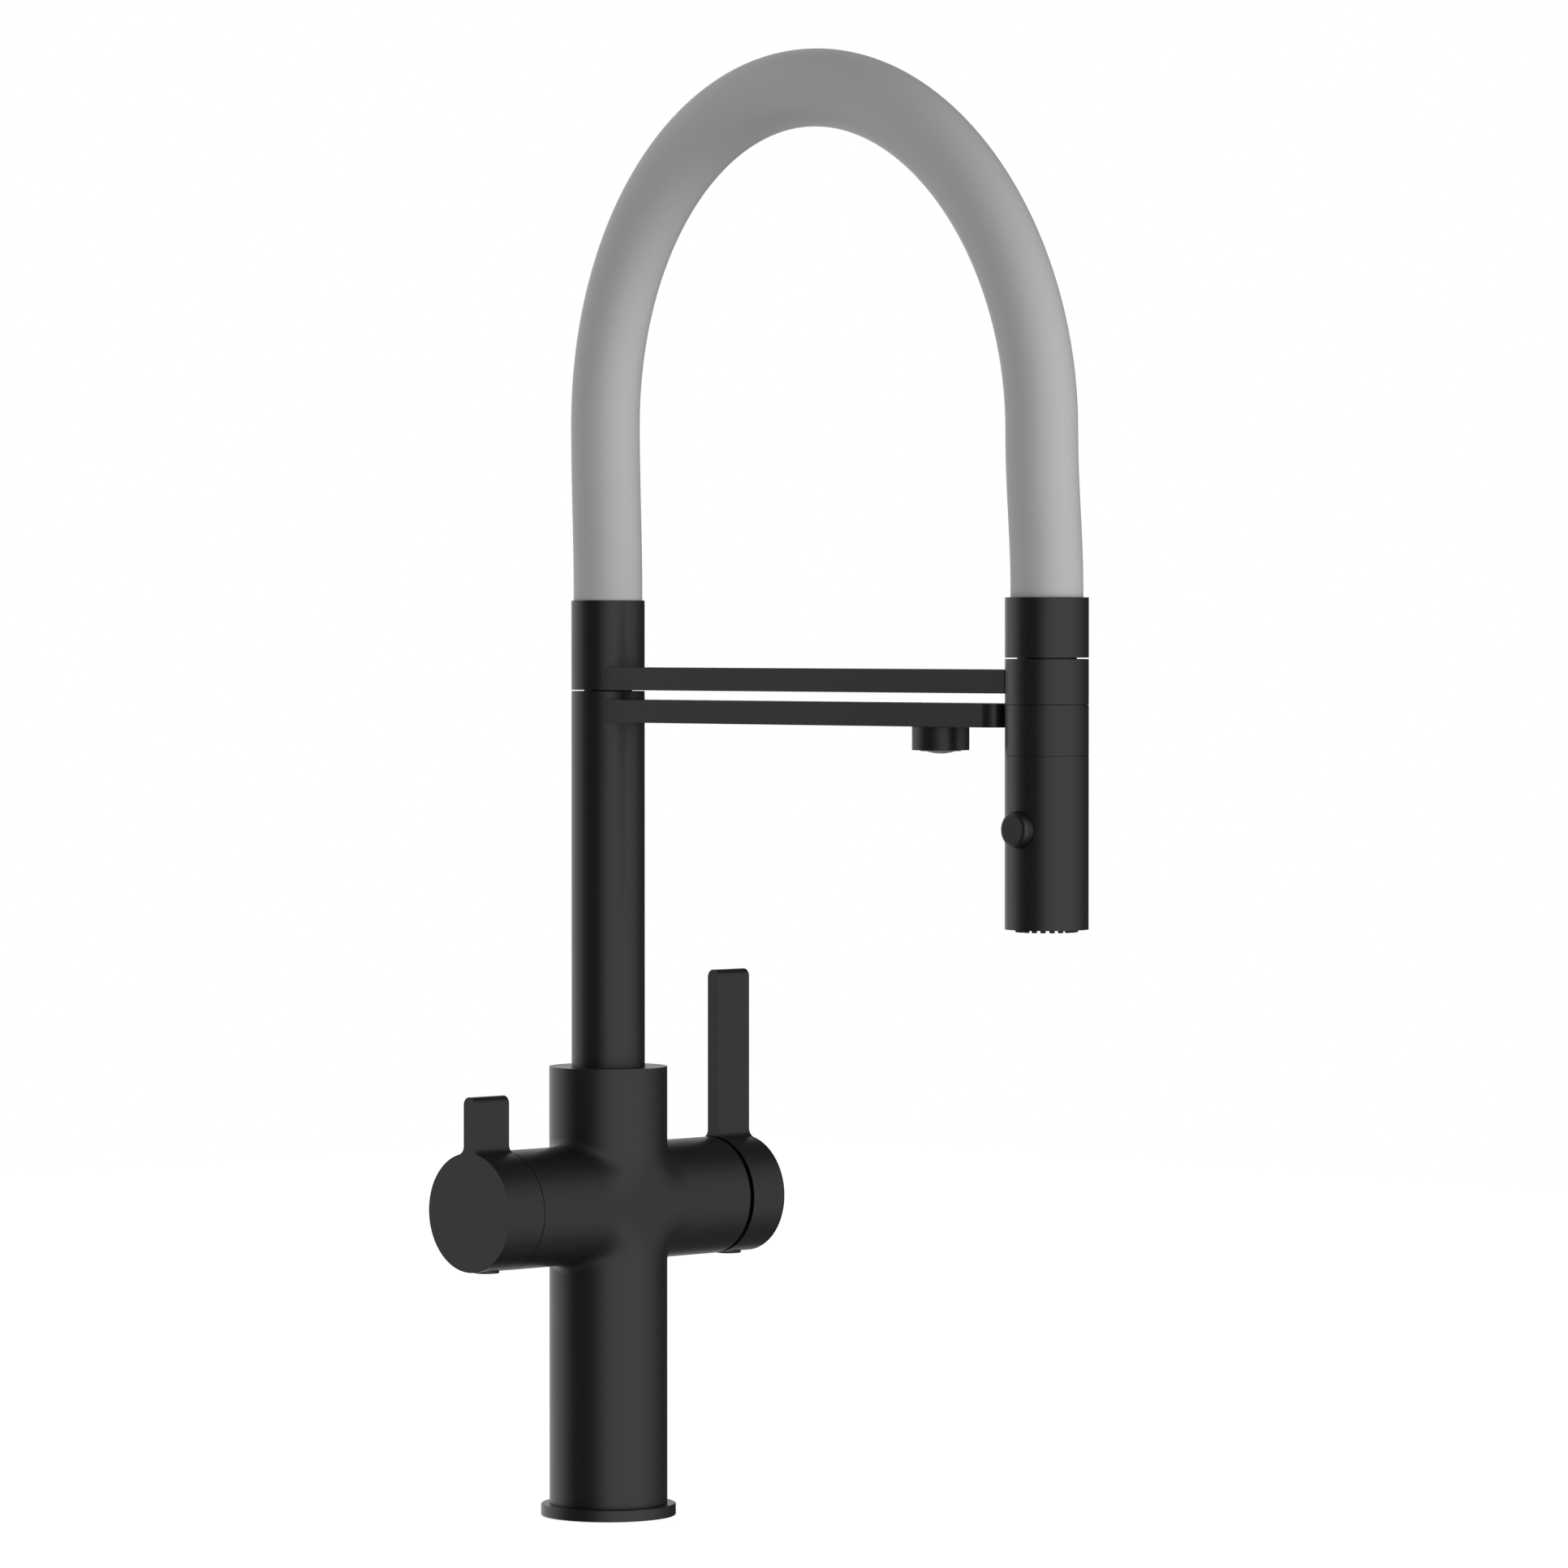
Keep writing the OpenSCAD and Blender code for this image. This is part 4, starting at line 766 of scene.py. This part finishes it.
def nozzle_mat():
    """Soft mat behind the face plate: six jets in its middle and a ring of blunt pips."""
    low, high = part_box("spray_mat")
    plate_low, plate_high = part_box("face_plate")
    shell_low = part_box("head_shell")[0].z
    mat_r, boss_r, boss_low = high.x, 6.47 * MM, plate_low.z + 0.3 * MM
    tip, root = shell_low - PIP_OUT, plate_high.z + 0.2 * MM
    piece = turned("nozzle_mat", [(0, boss_low), (boss_r, boss_low), (boss_r, plate_high.z),
                                  (mat_r, plate_high.z), (mat_r, high.z), (0, high.z)], HEAD_AXIS)
    for turn in range(0, 360, 60):
        out = Vector((math.cos(math.radians(turn)), math.sin(math.radians(turn)), 0))
        place = HEAD_AXIS + out * JET_RING_R
        cut(piece, rod(JET_R, place + Z * (low.z - MM), place + Z * (high.z + MM)))
    soften(piece, CRISP)
    pip = turned("pip", [(PIP_EYE_R, tip), (PIP_R, tip), (PIP_R, root), (0, root),
                         (0, shell_low), (PIP_EYE_R, shell_low)],
                 HEAD_AXIS + X * PIP_RING_R, steps=PIP_ROUND)
    soften(pip, PLUG_RIM, 2)
    pips = [pip]
    for number in range(1, PIP_COUNT):
        copy = pip.copy()
        copy.data = pip.data.copy()
        copy.data.transform(Matrix.Translation(HEAD_AXIS)
                            @ Matrix.Rotation(2 * math.pi * number / PIP_COUNT, 4, "Z")
                            @ Matrix.Translation(-HEAD_AXIS))
        bpy.context.scene.collection.objects.link(copy)
        pips.append(copy)
    deselect()
    for part in pips + [piece]:
        part.select_set(True)
    bpy.context.view_layer.objects.active = piece
    bpy.ops.object.join()
    return finish_piece(piece, FINISHES["black_rubber"], "spray_head", "spray_mat")


def return_spring():
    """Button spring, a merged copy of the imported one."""
    piece = bpy.data.objects.new("return_spring", frame["nodes"]["button_spring"].data.copy())
    bpy.context.scene.collection.objects.link(piece)
    tidy_mesh(piece)
    finish_piece(piece, FINISHES["steel"], "spray_head", "button_spring")
    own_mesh(piece)
    return piece


# Studio

AMBIENT = 0.065
WORKTOP = 0.08
# Angles in degrees. On each side, a wall is gone at the first angle from its azimuth and full at
# the second.
WALLS = {
    "key": {"azimuth": -2, "left": (75, 35), "right": (90, 10), "strength": 1.2},
    "rim": {"azimuth": -166, "left": (76, 52), "right": (50, 14), "strength": 1.05},
}
WALL_FOOT, WALL_TOP, WALL_EDGE = -42, 46, 20
WORKTOP_EDGE, WORKTOP_FULL = -20, -60


def shown_to(nodes, links, *rays):
    """1 on rays of these kinds, else 0."""
    path = nodes.new("ShaderNodeLightPath")
    total = path.outputs[rays[0]]
    for ray in rays[1:]:
        sum_node = nodes.new("ShaderNodeMath")
        sum_node.operation = "ADD"
        sum_node.use_clamp = True
        links.new(total, sum_node.inputs[0])
        links.new(path.outputs[ray], sum_node.inputs[1])
        total = sum_node.outputs[0]
    return total


def math_step(nodes, links, operation, *values):
    """One Math node; each value is a number or a socket."""
    node = nodes.new("ShaderNodeMath")
    node.operation = operation
    for socket, value in zip(node.inputs, values):
        if isinstance(value, (int, float)):
            socket.default_value = value
        else:
            links.new(value, socket)
    return node.outputs[0]


def fade(nodes, links, value, outside, inside):
    """0 where a value is at its outside limit, rising softly to 1 at its inside limit."""
    node = nodes.new("ShaderNodeMapRange")
    node.interpolation_type = "SMOOTHSTEP"
    node.inputs["From Min"].default_value = math.radians(outside)
    node.inputs["From Max"].default_value = math.radians(inside)
    links.new(value, node.inputs["Value"])
    return node.outputs["Result"]


def studio_world():
    """White behind the object. Two soft white walls light it in a dim room: seen from the camera,
    one to the front right and one behind on the left. Azimuth 0 is at -Y and 90 at +X."""
    world = bpy.data.worlds.new("studio")
    bpy.context.scene.world = world
    world.use_nodes = True
    nodes, links = world.node_tree.nodes, world.node_tree.links
    direction = nodes.new("ShaderNodeSeparateXYZ")
    links.new(nodes.new("ShaderNodeTexCoord").outputs["Object"], direction.inputs[0])
    forward = math_step(nodes, links, "MULTIPLY", direction.outputs["Y"], -1)
    azimuth = math_step(nodes, links, "ARCTAN2", direction.outputs["X"], forward)
    elevation = math_step(nodes, links, "ARCSINE", direction.outputs["Z"])
    height = math_step(
        nodes, links, "MULTIPLY",
        fade(nodes, links, elevation, WALL_FOOT - WALL_EDGE, WALL_FOOT + WALL_EDGE),
        fade(nodes, links, elevation, WALL_TOP + WALL_EDGE, WALL_TOP - WALL_EDGE))
    below = fade(nodes, links, elevation, WORKTOP_EDGE, WORKTOP_FULL)
    light = math_step(nodes, links, "MULTIPLY_ADD", below, WORKTOP, AMBIENT)
    for wall in WALLS.values():
        turn = math_step(nodes, links, "SUBTRACT", azimuth, math.radians(wall["azimuth"]))
        turn = math_step(nodes, links, "WRAP", turn, math.pi, -math.pi)
        (left_out, left_in), (right_out, right_in) = wall["left"], wall["right"]
        span = math_step(nodes, links, "MULTIPLY", fade(nodes, links, turn, -left_out, -left_in),
                         fade(nodes, links, turn, right_out, right_in))
        glow = math_step(nodes, links, "MULTIPLY", span, height)
        light = math_step(nodes, links, "MULTIPLY_ADD", glow, wall["strength"], light)
    level = nodes.new("ShaderNodeMix")
    level.inputs["B"].default_value = 1
    links.new(light, level.inputs["A"])
    links.new(shown_to(nodes, links, "Is Camera Ray", "Is Transmission Ray"), level.inputs["Factor"])
    links.new(level.outputs["Result"], nodes["Background"].inputs["Strength"])
    nodes["Background"].inputs["Color"].default_value = (1, 1, 1, 1)


def floor():
    """Pale floor that shows plain white and hides nothing from below."""
    deselect()
    bpy.ops.mesh.primitive_plane_add(size=3, location=(0, 0, -0.2 * MM))
    plane = bpy.context.object
    plane.name = "floor"
    look = bpy.data.materials.new("pale_floor")
    look.use_nodes = True
    nodes, links = look.node_tree.nodes, look.node_tree.links
    shader = nodes["Principled BSDF"]
    shader.inputs["Base Color"].default_value = (0.8, 0.8, 0.8, 1)
    shader.inputs["Roughness"].default_value = 0.9
    shader.inputs["Specular IOR Level"].default_value = 0
    shader.inputs["Emission Color"].default_value = (1, 1, 1, 1)
    glow = math_step(nodes, links, "MULTIPLY",
                     shown_to(nodes, links, "Is Camera Ray", "Is Transmission Ray"), 0.8)
    links.new(glow, shader.inputs["Emission Strength"])
    from_below = nodes.new("ShaderNodeMixShader")
    links.new(nodes.new("ShaderNodeNewGeometry").outputs["Backfacing"], from_below.inputs[0])
    links.new(shader.outputs[0], from_below.inputs[1])
    links.new(nodes.new("ShaderNodeBsdfTransparent").outputs[0], from_below.inputs[2])
    links.new(from_below.outputs[0], nodes["Material Output"].inputs["Surface"])
    plane.data.materials.append(look)
    plane.visible_diffuse = False
    plane.visible_glossy = False
    plane.visible_shadow = False


LENS, SENSOR = 166.85, 36
CAMERA_PLACE = (-1.9084, -2.0120, 0.3399)
CAMERA_DOWN, CAMERA_TURN = 1.252, -44.873


def camera():
    """The photograph's view: a long lens, a little above the middle of the tap."""
    data = bpy.data.cameras.new("camera")
    data.lens = LENS
    data.sensor_width = SENSOR
    view = bpy.data.objects.new("camera", data)
    bpy.context.scene.collection.objects.link(view)
    view.location = CAMERA_PLACE
    view.rotation_euler = (math.radians(90 - CAMERA_DOWN), 0, math.radians(CAMERA_TURN))
    bpy.context.scene.camera = view


dress_cad_nodes()
camera()
body_casting()
flange()
filter_handle()
mixer_handle()
cover_plug("filter_cap_plug", "filter_plug", "filter_handle")
cover_plug("mixer_cap_plug", "mixer_plug", "mixer_handle")
riser()
turning_collar()
lower_arm()
upper_arm()
outlet()
hose_arch()
hose_end_collar()
dock_ring()
lower_ring()
head_tube()
push_button()
nozzle_mat()
return_spring()

studio_world()
floor()
bpy.context.scene.view_settings.view_transform = "Standard"
